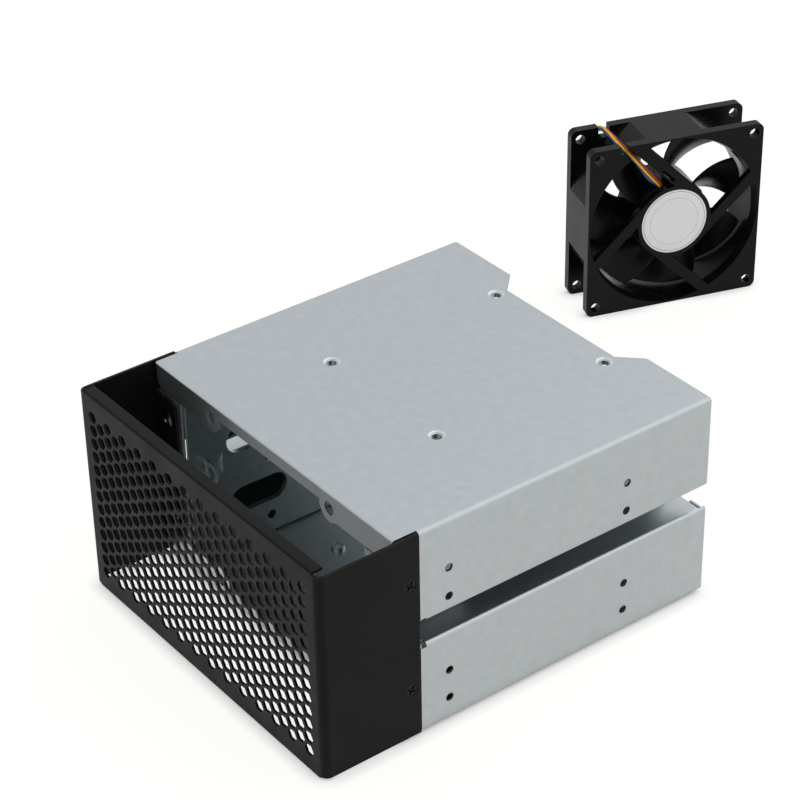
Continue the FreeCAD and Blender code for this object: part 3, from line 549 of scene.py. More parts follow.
@dataclass(frozen=True)
class Finish:
    """One material. Lengths are in metres, and the colour is as it shows on a screen, 0 to 1."""

    name: str
    colour: tuple[float, float, float]
    metallic: float = 0.0
    roughness: float = 0.5
    mottle: float = 0.05
    mottle_size: float = 0.02
    rough_spread: float = 0.06
    grain: float = 0.000004
    grain_size: float = 0.0005
    specular: float = 0.5
    coat: float = 0.0
    edge: float = 0.0
    # how much the colour is lightened along edges, a painted highlight
    edge_highlight: float = 0.0

    def linear(self, factor: float) -> tuple[float, float, float, float]:
        """The colour as light, by the sRGB curve, scaled by a factor and held below white."""
        made = [(c / 12.92 if c <= 0.04045 else ((c + 0.055) / 1.055) ** 2.4) for c in self.colour]
        return (*[min(c * factor, WHITEST) for c in made], 1.0)

    def material(self) -> bpy.types.Material:
        """Builds the node material.

        Patches of noise on object coordinates vary the colour and the roughness. A finer
        noise gives the bump, over edges softened by the finish's own edge radius. Where the
        finish asks for it, the colour is lightened along edges as a painted highlight.

        Returns:
            The material.
        """
        made = bpy.data.materials.new("look_" + self.name)
        tree = Tree(made)
        shader = tree.nodes["Principled BSDF"]
        shader.inputs["Metallic"].default_value = self.metallic
        shader.inputs["Specular IOR Level"].default_value = self.specular
        shader.inputs["Coat Weight"].default_value = self.coat
        shader.inputs["Coat Roughness"].default_value = COAT_ROUGHNESS
        where = tree.add("TexCoord").outputs["Object"]
        ramp = tree.add("ValToRGB")
        stops = ramp.color_ramp.elements
        stops[0].position, stops[1].position = NOISE_MIDDLE
        stops[0].color, stops[1].color = self.linear(1 - self.mottle), self.linear(1 + self.mottle)
        tree.join(tree.noise(where, self.mottle_size, PATCH_DETAIL), ramp.inputs["Fac"])
        colour = ramp.outputs["Color"]
        wear = tree.noise(where, self.mottle_size * WEAR_SIZE, WEAR_DETAIL)
        rough = (max(self.roughness - self.rough_spread, SMOOTHEST),
                 min(self.roughness + self.rough_spread, 1.0))
        tree.join(tree.ranged(wear, NOISE_MIDDLE, rough), shader.inputs["Roughness"])
        bump = tree.add("Bump")
        bump.inputs["Strength"].default_value = BUMP_STRENGTH
        bump.inputs["Distance"].default_value = self.grain
        tree.join(tree.noise(where, self.grain_size, GRAIN_DETAIL), bump.inputs["Height"])
        if self.edge > 0:
            bevel = tree.add("Bevel", samples=BEVEL_SAMPLES)
            bevel.inputs["Radius"].default_value = self.edge
            tree.join(bevel.outputs["Normal"], bump.inputs["Normal"])
            # Painted highlight: edges are lightened to stand for the light that they catch.
            if self.edge_highlight > 0:
                colour = self._lighten_edges_as_highlight(tree, bevel.outputs["Normal"], colour)
        tree.join(bump.outputs["Normal"], shader.inputs["Normal"])
        tree.join(colour, shader.inputs["Base Color"])
        return made

    def _lighten_edges_as_highlight(self, tree: Tree, softened: bpy.types.NodeSocket,
                    colour: bpy.types.NodeSocket) -> bpy.types.NodeSocket:
        """Paints a highlight along edges: lightens the colour where the softened normal leaves the true
        one.

        Args:
            tree: the material's nodes.
            softened: the normal with its edges softened.
            colour: the colour away from the edges.

        Returns:
            The socket with the mixed colour.
        """
        agree = tree.add("VectorMath", operation="DOT_PRODUCT")
        tree.join(tree.add("NewGeometry").outputs["Normal"], agree.inputs[0])
        tree.join(softened, agree.inputs[1])
        mix = tree.add("MixRGB")
        mix.inputs["Color2"].default_value = (self.edge_highlight,) * 3 + (1.0,)
        tree.join(tree.ranged(agree.outputs["Value"], EDGE_HIGHLIGHT_RANGE, FULL_RANGE), mix.inputs["Fac"])
        tree.join(colour, mix.inputs["Color1"])
        return mix.outputs["Color"]


FINISHES = (
    Finish("zinc_sheet", (0.697, 0.716, 0.721), metallic=0.93, roughness=0.31, mottle=0.035,
           mottle_size=0.004, rough_spread=0.03, grain=0.000002, grain_size=0.0009, edge=0.00022),
    # Painted shade: the drive walls are the same zinc sheet, written darker to stand for the shade inside
    # the bay.
    Finish("painted_shade_zinc", (0.60, 0.632, 0.642), metallic=0.93, roughness=0.30, mottle=0.035,
           mottle_size=0.004, rough_spread=0.03, grain=0.000002, grain_size=0.0009, edge=0.00022),
    # Painted highlight: a lighter and smoother copy of the sheet's zinc, whose lighter colour stands for
    # the light that the dimples' slopes catch.
    Finish("painted_highlight_zinc", (0.80, 0.83, 0.84), metallic=0.94, roughness=0.25, mottle=0.03,
           mottle_size=0.002, grain=0.000002, grain_size=0.0004),
    Finish("black_paint", (0.068, 0.066, 0.061), roughness=0.42, mottle=0.06, mottle_size=0.03,
           grain=0.000008, grain_size=0.00035, specular=0.09, edge=0.0003, edge_highlight=0.05),
    Finish("black_screw", (0.075, 0.075, 0.075), metallic=0.1, roughness=0.36, mottle=0.1,
           mottle_size=0.002, grain=0.000003, grain_size=0.0002, specular=0.15, edge=0.00008),
    # Painted shade: the rivets' metal is written far darker than aluminium, for the dark surroundings
    # that their heads reflect in the bay.
    Finish("rivet_aluminium", (0.36, 0.37, 0.39), metallic=1.0, roughness=0.24, mottle=0.05,
           mottle_size=0.002, grain=0.000002, grain_size=0.0002, edge=0.0001),
    Finish("mandrel_steel", (0.88, 0.89, 0.90), metallic=1.0, roughness=0.3, mottle=0.05,
           mottle_size=0.001, grain=0.000002, grain_size=0.0002),
    Finish("black_plastic", (0.050, 0.051, 0.057), roughness=0.27, mottle=0.08, mottle_size=0.02,
           grain=0.000005, grain_size=0.0006, specular=0.11, edge=0.0003, edge_highlight=0.012),
    Finish("label_film", (0.90, 0.90, 0.91), metallic=0.15, roughness=0.4, mottle=0.02,
           mottle_size=0.01, grain=0.000003, grain_size=0.0008),
    Finish("brass", (0.80, 0.66, 0.36), metallic=0.95, roughness=0.3, mottle_size=0.004),
    Finish("bearing_steel", (0.76, 0.77, 0.79), metallic=1.0, roughness=0.2, mottle_size=0.003,
           grain=0.000001, grain_size=0.0002),
    Finish("lamination_steel", (0.47, 0.48, 0.50), metallic=0.85, roughness=0.42,
           mottle_size=0.003),
    Finish("copper_wire", (0.73, 0.36, 0.16), metallic=0.85, roughness=0.28, mottle_size=0.002,
           coat=0.4),
    Finish("board_laminate", (0.10, 0.33, 0.17), roughness=0.38, mottle_size=0.003, coat=0.3),
    Finish("magnet_ferrite", (0.22, 0.21, 0.21), metallic=0.1, roughness=0.62,
           mottle_size=0.002),
    Finish("lead_insulation", (0.10, 0.10, 0.11), roughness=0.42, mottle_size=0.006),
    Finish("connector_nylon", (0.86, 0.85, 0.80), roughness=0.46, mottle=0.03,
           mottle_size=0.004, edge=0.0002),
    Finish("wire_red", (0.66, 0.10, 0.07), roughness=0.36, mottle_size=0.006),
    Finish("wire_black", (0.07, 0.07, 0.075), roughness=0.36, mottle_size=0.006),
    Finish("wire_yellow", (0.88, 0.72, 0.10), roughness=0.36, mottle_size=0.006),
    Finish("wire_blue", (0.12, 0.25, 0.55), roughness=0.36, mottle_size=0.006),
    Finish("label_ink", (0.52, 0.53, 0.55), roughness=0.5, mottle_size=0.004),
    Finish("solder", (0.72, 0.73, 0.74), metallic=0.9, roughness=0.25, mottle_size=0.001),
    Finish("chip_resin", (0.08, 0.08, 0.085), roughness=0.5, mottle_size=0.001),
)
# Nodes whose zinc is written darker to paint the bay's shade.
PAINTED_SHADE_SHEET = {"left_drive_wall": "painted_shade_zinc", "right_drive_wall": "painted_shade_zinc"}


class Paintbox:
    """The finishes, built once each, and given to CAD nodes and new pieces."""

    def __init__(self, finishes: Iterable[Finish]) -> None:
        """Builds every finish."""
        self.made = {finish.name: finish.material() for finish in finishes}
        LOG.info("finishes: %d", len(self.made))

    def carry_over(self, nodes: dict[str, bpy.types.Object]) -> None:
        """Gives each CAD node the finish of its own material slot, and the drive walls a darker zinc that
        paints the shade of the bay.

        Args:
            nodes: the CAD nodes by name.
        """
        for name, node in nodes.items():
            for place in node.material_slots:
                slot = place.material.name.split(".")[0]
                finish = PAINTED_SHADE_SHEET.get(name, slot)
                place.material = self.made[finish]
                LOG.info("%s takes %s", name, finish)

    def paint(self, piece: bpy.types.Object, *names: str) -> None:
        """Gives a new piece its finishes, in the order of its faces' material index."""
        for name in names:
            piece.data.materials.append(self.made[name])


# ---- Camera, light and floor ----------------------------------------------------------------


@dataclass(frozen=True)
class Viewpoint:
    """Where the object is looked at from, and through which lens, in metres and millimetres."""

    position: tuple[float, float, float] = (0.62043, -0.41548, 0.57868)
    forward: tuple[float, float, float] = (-0.673668, 0.502934, -0.541507)
    up: tuple[float, float, float] = (-0.422150, 0.339541, 0.840536)
    lens: float = 116.42
    sensor: float = 36.0

    def build(self) -> None:
        """Makes the camera and gives it to the scene."""
        data = bpy.data.cameras.new("viewpoint")
        data.lens = self.lens
        data.sensor_width = self.sensor
        camera = bpy.data.objects.new("viewpoint", data)
        forward = Vector(self.forward).normalized()
        right = forward.cross(Vector(self.up)).normalized()
        turned = Matrix((right, right.cross(forward), -forward)).transposed()
        camera.matrix_world = Matrix.Translation(self.position) @ turned.to_4x4()
        bpy.context.scene.collection.objects.link(camera)
        bpy.context.scene.camera = camera


@dataclass(frozen=True)
class Lamp:
    """One soft rectangular light, aimed at a point."""

    name: str
    position: tuple[float, float, float]
    aim: tuple[float, float, float]
    width: float
    power: float
    colour: tuple[float, float, float] = (1.0, 1.0, 1.0)

    def build(self) -> None:
        """Makes the light."""
        data = bpy.data.lights.new(self.name, "AREA")
        data.color = self.colour
        data.shape = "SQUARE"
        data.size = self.width
        data.energy = self.power
        lamp = bpy.data.objects.new(self.name, data)
        lamp.location = self.position
        heading = Vector(self.aim) - Vector(self.position)
        lamp.rotation_euler = heading.to_track_quat("-Z", "Y").to_euler()
        bpy.context.scene.collection.objects.link(lamp)


@dataclass(frozen=True)
class Studio:
    """A white room with a pale floor and soft light, in metres."""

    surround: tuple[float, float, float] = (0.955, 0.97, 1.0)
    sky: float = 0.75
    floor_half: float = 4.0
    floor_albedo: float = 0.82
    floor_roughness: float = 0.9
    floor_specular: float = 0.1
    floor_glow: float = 0.80
    floor_glow_mirrored: float = 0.7
    floor_white: float = 1.12
    floor_tint: tuple[float, float, float] = (1.0, 0.998, 0.98)
    # reach of the painted contact shade on the floor, in metres
    contact: float = 0.006
    contact_samples: int = 8
    lamps: tuple[Lamp, ...] = (
        Lamp("key", (0.1, 1.2, 1.4), (0.0, 0.08, 0.04), 2.4, 7.0),
        Lamp("side", (1.6, 0.7, 1.0), (0.1, 0.1, 0.04), 1.8, 3.0, (1.0, 0.985, 0.94)),
    )

    def build(self, floor_z: float) -> None:
        """Makes the world, the floor and the lights.

        Args:
            floor_z: height of the surface that the object stands on.
        """
        scene = bpy.context.scene
        scene.view_settings.view_transform = "Standard"
        self._world(scene)
        self._floor(floor_z)
        for lamp in self.lamps:
            lamp.build()

    def _world(self, scene: bpy.types.Scene) -> None:
        """A white surround for the camera, and a softer one for everything else.

        Args:
            scene: the scene that takes the surround.
        """
        world = bpy.data.worlds.new("surround")
        tree = Tree(world)
        shown = tree.nodes["Background"]
        shown.inputs["Color"].default_value = (*self.surround, 1.0)
        lit = tree.add("Background")
        lit.inputs["Color"].default_value = (1.0, 1.0, 1.0, 1.0)
        lit.inputs["Strength"].default_value = self.sky
        tree.surface(tree.seen(), lit.outputs["Background"], shown.outputs["Background"],
                     "World Output")
        scene.world = world

    def _floor(self, floor_z: float) -> None:
        """A pale floor that shows the camera a part of the shadow on it.

        Args:
            floor_z: height of the surface that the object stands on.
        """
        half = self.floor_half
        mesh = bpy.data.meshes.new("floor")
        corners = [(x, y, floor_z)
                   for x, y in ((-half, -half), (half, -half), (half, half), (-half, half))]
        mesh.from_pydata(corners, [], [(0, 1, 2, 3)])
        floor = bpy.data.objects.new("floor", mesh)
        bpy.context.scene.collection.objects.link(floor)
        floor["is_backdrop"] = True
        mesh.materials.append(self._floor_paint())

    def _floor_paint(self) -> bpy.types.Material:
        """Matt white that glows for what the camera sees, and less close beside the object, where ambient
        occlusion paints a contact shade.

        Returns:
            The material.
        """
        paint = bpy.data.materials.new("floor")
        tree = Tree(paint)
        matt = tree.nodes["Principled BSDF"]
        matt.inputs["Base Color"].default_value = (*[self.floor_albedo] * 3, 1)
        matt.inputs["Roughness"].default_value = self.floor_roughness
        matt.inputs["Specular IOR Level"].default_value = self.floor_specular
        glow = tree.add("Emission")
        glow.inputs["Color"].default_value = (*self.floor_tint, 1.0)
        glow.inputs["Strength"].default_value = self.floor_white
        share = tree.add("Mix")
        share.inputs["A"].default_value = self.floor_glow_mirrored
        share.inputs["B"].default_value = self.floor_glow
        tree.join(tree.add("LightPath").outputs["Is Camera Ray"], share.inputs["Factor"])
        # Painted contact shade: ambient occlusion takes the glow away within a few millimetres of the
        # object.
        close = tree.add("AmbientOcclusion", samples=self.contact_samples)
        close.inputs["Distance"].default_value = self.contact
        glows = tree.maths("MULTIPLY", share.outputs["Result"], tree.seen())
        glows = tree.maths("MULTIPLY", glows, close.outputs["AO"])
        tree.surface(glows, matt.outputs["BSDF"], glow.outputs["Emission"], "Material Output")
        return paint


# ---- The fan's lead -------------------------------------------------------------------------


@dataclass(frozen=True)
class Lead:
    """The fan's four wires: from the hub, round the frame, to the coil and plug on the floor.

    Sizes and points are in millimetres in the fan's own frame, as part.py has them: X right
    and Y up as one faces the struts, Z out of the strut face, the back face at Z = 0.
    """

    radius: float = 1.3
    around: int = 12
    line_steps: int = 12
    line_order: int = 3
    strand_radius: float = 0.54
    strand_off: float = 0.75
    strand_pitch: float = 200.0
    strand_turn: float = 0.055
    loose_at: float = 8.0
    loose_over: float = 6.5
    loose_gap: float = 1.25
    coil_x: float = 12.0
    coil_z: float = -24.0
    coil_radius: float = 13.6
    floor_y: float = -38.7
    second_y: float = -36.0
    first_deg: float = 195.0
    climb_from: float = 480.0
    climb_to: float = 545.0
    last_deg: float = 675.0
    step_deg: float = 20.0
    route: tuple[tuple[float, float, float], ...] = (
        (-5.6, 16.9, 21.1), (-9.6, 21.6, 22.6), (-15.0, 28.0, 23.4), (-20.8, 34.9, 22.4),
        (-24.0, 37.9, 17.5), (-24.1, 38.2, 8.5), (-24.6, 37.8, -0.5), (-27.4, 33.4, -5.6),
        (-32.0, 22.5, -5.0), (-36.0, 6.0, -3.9), (-37.4, -12.0, -3.4), (-35.6, -27.5, -4.6),
        (-30.5, -36.6, -9.6), (-21.0, -38.7, -15.6), (-11.5, -38.7, -20.4),
        (-3.07, -38.7, -22.7),
    )
    tail: tuple[tuple[float, float, float], ...] = (
        (24.6, -36.0, -29.6), (27.2, -36.3, -25.6), (29.2, -36.9, -24.1), (31.0, -37.1, -24.0),
    )

    def coil(self) -> list[tuple[float, float, float]]:
        """Control points of the coil: (X + R cos a, y, Z + R sin a), lifted for the second turn.

        Returns:
            The points, in millimetres of the fan's own frame.
        """
        points = []
        radius = self.coil_radius / math.cos(math.radians(self.step_deg) / 2)
        for k in range(int((self.last_deg - self.first_deg) / self.step_deg) + 1):
            degrees = self.first_deg + k * self.step_deg
            share = (degrees - self.climb_from) / (self.climb_to - self.climb_from)
            share = min(max(share, 0.0), 1.0)
            y = self.floor_y + (self.second_y - self.floor_y) * share * share * (3 - 2 * share)
            angle = math.radians(degrees)
            x, z = radius * math.cos(angle), radius * math.sin(angle)
            points.append((self.coil_x + x, y, self.coil_z + z))
        return points

    def line(self, place: Place) -> np.ndarray:
        """The lead's smooth line, read from a NURBS curve through its control points.

        Args:
            place: the fan's own frame.

        Returns:
            Points along the line, in the row frame.
        """
        controls = place.at(np.array([*self.route, *self.coil(), *self.tail]) * MM)
        curve = bpy.data.curves.new("lead_line", "CURVE")
        curve.dimensions = "3D"
        curve.resolution_u = self.line_steps
        spline = curve.splines.new("NURBS")
        spline.points.add(len(controls) - 1)
        for point, where in zip(spline.points, controls):
            point.co = (*where, 1.0)
        spline.order_u = self.line_order
        spline.use_endpoint_u = True
        holder = bpy.data.objects.new("lead_line", curve)
        read = bpy.data.meshes.new_from_object(holder)
        line = np.array([tuple(v.co) for v in read.vertices])
        bpy.data.meshes.remove(read)
        bpy.data.objects.remove(holder)
        bpy.data.curves.remove(curve)
        return line

    def _aside(self, place: Place, line: np.ndarray, run: np.ndarray, wire: int) -> np.ndarray:
        """How far one wire lies from the lead's line, in millimetres.

        The wires wind round the line: off (side cos t + over sin t), where t grows by a turn in
        each pitch. Near the hub they part and lie side by side: the share that does so is
        exp(-((run - loose_at) / loose_over)^2).

        Args:
            place: the fan's own frame.
            line: points of the lead's line.
            run: length along the line at each point, in millimetres.
            wire: the wire's number.

        Returns:
            One offset for each point.
        """
        side, over = follow(line)
        turn = 2 * math.pi * (run / self.strand_pitch + wire / len(Wire) + self.strand_turn)
        wound = side * np.cos(turn)[:, None] + over * np.sin(turn)[:, None]
        across = np.cross(np.gradient(line, axis=0), place.z)
        across /= np.maximum(np.linalg.norm(across, axis=1), TINY)[:, None]
        apart = across * self.loose_gap * (wire - (len(Wire) - 1) / 2)
        loose = np.exp(-((run - self.loose_at) / self.loose_over) ** 2)[:, None]
        return self.strand_off * wound * (1 - loose) + apart * loose

    def build(self, place: Place, paints: Paintbox) -> None:
        """Args:
            place: the fan's own frame.
            paints: the finishes.
        """
        line = self.line(place)
        steps = np.linalg.norm(np.diff(line, axis=0), axis=1)
        run = np.concatenate(([0.0], np.cumsum(steps)))
        shell = Shell()
        for k, _ in enumerate(Wire):
            path = line + MM * self._aside(place, line, run / MM, k)
            shell.loft(tube(path, self.strand_radius * MM, self.around), k)
        piece = shell.build("lead_strands")
        paints.paint(piece, *[wire.value for wire in Wire])
        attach(piece, CAGE)
        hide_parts("fan_lead", "lead_coil")
        LOG.info("lead: %.1f mm long", run[-1] / MM)


@dataclass(frozen=True)
class Plug:
    """Metal contacts in the connector's sockets, in millimetres of the fan's own frame."""

    mouth: tuple[float, float, float] = (42.0, -37.1, -24.0)
    pitch: float = 2.54
    pins: int = 4
    sunk: float = 0.8
    length: float = 5.0
    outer: float = 0.46
    inner: float = 0.34
    edge: float = 0.04

    def build(self, place: Place, paints: Paintbox) -> None:
        """Makes one thin tube in each socket.

        Args:
            place: the fan's own frame.
            paints: the finishes.
        """
        shell = Shell()
        for k in range(self.pins):
            z = self.mouth[2] + (k - (self.pins - 1) / 2) * self.pitch
            end = place.at(np.array((self.mouth[0] - self.sunk, self.mouth[1], z)) * MM)
            shell.torus(turned_ring(Place.along(end, -place.x), (self.inner, self.outer),
                                    (0, self.length), self.edge, 16))
        piece = shell.build("plug_contacts")
        paints.paint(piece, "solder")
        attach(piece, CAGE)


# ---- Cage details ---------------------------------------------------------------------------


@dataclass(frozen=True)
class Fasteners:
    """The bezel's screws with their threads, and its rivets' mandrels, in millimetres."""

    head_radius: float = 2.44
    head_sink: float = 0.3
    head_round: float = 0.05
    head_height: float = 1.4
    around: int = 96
    face_rings: tuple[float, float, int] = (0.05, 2.0, 27)
    face_outer: float = 2.2
    recess_half_width: float = 0.42
    recess_half_length: float = 1.75
    recess_depth: float = 0.9
    recess_taper: float = 0.25
    recess_slope: float = 0.15
    recess_turn: float = 32.0
    screw_root: float = 1.5
    screw_length: float = 4.9
    tip_in: float = 0.25
    tip_out: float = 0.08
    thread_depth: float = 0.2
    thread_pitch: float = 0.6
    thread_half: float = 0.36
    thread_root: float = 0.05
    thread_least: float = 0.05
    thread_steps: int = 24
    mandrel_radius: float = 0.62
    mandrel_height: float = 0.2
    mandrel_sunk: float = 0.04
    mandrel_well: float = 1.25
    well_width: float = 0.3
    well_heights: tuple[float, float] = (-0.10, 0.05)
    well_edge: float = 0.03

    def build(self, paints: Paintbox) -> None:
        """Makes the screws and the mandrels, placed from the CAD nodes' own boxes."""
        self._screws(paints)
        self._mandrels(paints)

    def _screws(self, paints: Paintbox) -> None:
        """Four screws, and the threads on them as a piece of their own.

        Args:
            paints: the finishes.
        """
        low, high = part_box("bezel_screws")
        head = (high.y - low.y) / 2
        middle_y = (low.y + high.y) / 2
        screws, threads = Shell(), Shell()
        for side in (-1, 1):
            for z in (low.z + head, high.z - head):
                start = Place.along((side * high.x, middle_y, z), (-side, 0, 0))
                screws.loft(self._screw(start))
                threads.loft(self._thread(start))
        body = screws.build("screw_bodies")
        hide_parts("bezel_screws")
        for piece in (body, threads.build("screw_threads")):
            paints.paint(piece, "black_screw")
            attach(piece, CAGE)

    def _mandrels(self, paints: Paintbox) -> None:
        """A ring and the mandrel's bright end in the middle of each rivet's head.

        Args:
            paints: the finishes.
        """
        low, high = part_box("bezel_rivets")
        reach = high.x - (high.x + low.x) / 2
        rivet_head = self._rivet_head()
        mandrels = Shell()
        for side in (-1, 1):
            for z in (low.z + rivet_head, high.z - rivet_head):
                spot = Place.along((side * (reach - rivet_head), low.y, z), (0, -1, 0))
                mandrels.torus(turned_ring(spot, (self.mandrel_well - self.well_width, self.mandrel_well),
                                           self.well_heights, self.well_edge, 32), 0)
                mandrels.loft(lathe(spot, dome(self.mandrel_radius, self.mandrel_height, (0, 84), 8,
                                               self.mandrel_sunk), 32), 1)
        piece = mandrels.build("rivet_mandrels")
        # The wells take the rivets' darkened metal, painted shade; the mandrels take bright steel.
        paints.paint(piece, "rivet_aluminium", "mandrel_steel")
        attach(piece, CAGE)

    @staticmethod
    def _rivet_head() -> float:
        """Radius of a rivet's head, in metres: half the width of the right-hand rivets.

        Returns:
            The radius.
        """
        node = bpy.data.objects["bezel_rivets"]
        right = [v.co.x for v in node.data.vertices if v.co.x > 0]
        return (max(right) - min(right)) / 2

    def _bar(self, along: np.ndarray, across: np.ndarray) -> np.ndarray:
        """One bar of the cross: 1 inside its half length and half width, falling to 0 over its slope.

        Args:
            along: distances along the bar, from its middle.
            across: distances across it, from its middle line.

        Returns:
            One depth for each distance.
        """
        inside = np.minimum(self.recess_half_length - np.abs(along),
                            self.recess_half_width - np.abs(across))
        step = np.clip(inside / self.recess_slope + 0.5, 0, 1)
        return step * step * (3 - 2 * step)

    def _screw(self, start: Place) -> np.ndarray:
        """One screw, from the middle of its head's face to its tip.

        The face is a grid of radius r and turn, sunk by
        sink + depth * max(bar(x, y), bar(y, x)) * (1 - taper * r).
        The cone under the head, the shank and the tip are turned shapes.

        Args:
            start: the middle of the hole's mouth, Z into the bezel.

        Returns:
            Loops of points.
        """
        turn = np.linspace(0, 2 * math.pi, self.around, endpoint=False)
        radii = np.append(np.linspace(*self.face_rings), (self.face_outer, self.head_radius))[:, None]
        x = radii * np.cos(turn - math.radians(self.recess_turn))
        y = radii * np.sin(turn - math.radians(self.recess_turn))
        cross = np.maximum(self._bar(x, y), self._bar(y, x)) * (1 - self.recess_taper * radii)
        sunk = self.head_sink + self.recess_depth * cross
        face = np.stack((radii * np.cos(turn), radii * np.sin(turn), sunk), axis=2)
        edge = self.head_sink + self.head_round
        rest = ((self.head_radius, edge), (self.screw_root, edge + self.head_radius - self.screw_root),
                (self.screw_root, self.screw_length),
                (self.screw_root - self.tip_in, self.screw_length + self.tip_out))
        body = np.array([np.column_stack((r * np.cos(turn), r * np.sin(turn), np.full(turn.size, z)))
                         for r, z in rest])
        return start.at(np.vstack((face, body)) * MM)

    def _thread(self, start: Place) -> np.ndarray:
        """A thread's ridge: a triangle carried along (r cos t, r sin t, p t / 2 pi).

        Args:
            start: the middle of the hole's mouth, Z into the bezel.

        Returns:
            Loops of three points. The ridge fades over half a turn at each end.
        """
        length = self.screw_length - self.head_height - self.thread_pitch
        turns = length / self.thread_pitch
        t = np.linspace(0, 2 * math.pi * turns, int(turns * self.thread_steps))
        fade = np.clip(np.minimum(t, t[-1] - t) / math.pi, self.thread_least, 1.0)
        z = self.head_height + self.thread_pitch * (0.5 + t / (2 * math.pi))
        root = self.screw_root - self.thread_root
        loops = []
        for angle, height, size in zip(t, z, fade):
            out, half = self.thread_depth * size, self.thread_pitch * self.thread_half * size
            section = ((root, -half), (self.screw_root + out, 0.0), (root, half))
            loops.append([(r * math.cos(angle), r * math.sin(angle), height + dz) for r, dz in section])
        return np.array([start.at(np.array(loop) * MM) for loop in loops])


@dataclass(frozen=True)
class SheetDetails:
    """Linings of the plate's dimples, in a lighter zinc that paints their highlight, and the backs of the
    walls' tabs, in millimetres.
    """

    dimple_radius: float = 3.0
    dimple_slope: float = 0.48
    lining: float = 0.04
    lining_inner: float = 2.5
    lining_out: float = 0.12
    lining_edge: float = 0.02
    sheet: float = 1.0
    tab_half_height: float = 4.4
    tab_back: float = 1.0
    tab_window: float = 6.4
    tab_edge: float = 0.04
    gap: float = 0.04

    def build(self, record: dict, paints: Paintbox) -> None:
        """Makes both kinds of piece.

        Args:
            record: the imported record, whose mounts say where the holes are.
            paints: the finishes.
        """
        mounts = {mount["name"]: mount for mount in record["mounts"]}
        self._rims(mounts["top_small_drive_holes"], paints)
        self._tab_backs(mounts["wall_tab_holes"], mounts["right_middle_drive_holes"], paints)

    def _rims(self, holes: dict, paints: Paintbox) -> None:
        """Thin turned linings of the plate's dimples: z = slope (r - dimple radius) + lining.

        Args:
            holes: the mount of the plate's holes.
            paints: the finishes.
        """
        middle = np.array(holes["pos_m"])
        half_x, half_y = holes["dims"]["spacing_x_mm"] / 2, holes["dims"]["spacing_y_mm"] / 2
        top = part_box("upper_shell")[1].z
        out, inner, edge = self.dimple_radius, self.lining_inner, self.lining_edge
        low = self.dimple_slope * (inner - out)
        ring = ((out + self.lining_out, -edge), (out + self.lining_out - edge, edge),
                (out, self.lining), (inner, low + self.lining),
                (inner - edge, low + self.lining / 2), (inner, low - edge))
        shell = Shell()
        for x in (-half_x, half_x):
            for y in (-half_y, half_y):
                spot = Place.along((middle[0] + x * MM, middle[1] + y * MM, top), (0, 0, 1))
                shell.torus(lathe(spot, [(r * MM, z * MM) for r, z in ring], 48))
        piece = shell.build("plate_hole_rims")
        # The linings take the lighter zinc, a painted highlight.
        paints.paint(piece, "painted_highlight_zinc")
        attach(piece, CAGE)

    def _tab_backs(self, tabs: dict, wall: dict, paints: Paintbox) -> None:
        """Flat pieces of sheet that close the wall behind each tab.

        Args:
            tabs: the mount of the tabs' holes.
            wall: a mount on the right-hand wall's inner face.
            paints: the finishes.
        """
        inner, front, middle_z = wall["pos_m"][0], tabs["pos_m"][1], tabs["pos_m"][2]
        size = ((self.tab_window - 2 * self.gap) * MM, 2 * (self.tab_half_height - self.gap) * MM,
                (self.sheet - self.gap) * MM)
        shell = Shell()
        for side in (-1, 1):
            y = front + (self.tab_back + self.tab_window / 2) * MM
            base = np.array((side * (inner + self.gap / 2 * MM), y, middle_z))
            place = Place(base, np.array((0.0, 1.0, 0.0)), np.array((0.0, 0.0, float(side))),
                          np.array((float(side), 0.0, 0.0)))
            shell.loft(slab(place, size, self.tab_edge * MM))
        piece = shell.build("tab_backs")
        # The tabs' backs take the walls' darkened zinc, painted shade.
        paints.paint(piece, "painted_shade_zinc")
        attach(piece, CAGE)


# ---- Fan details ----------------------------------------------------------------------------


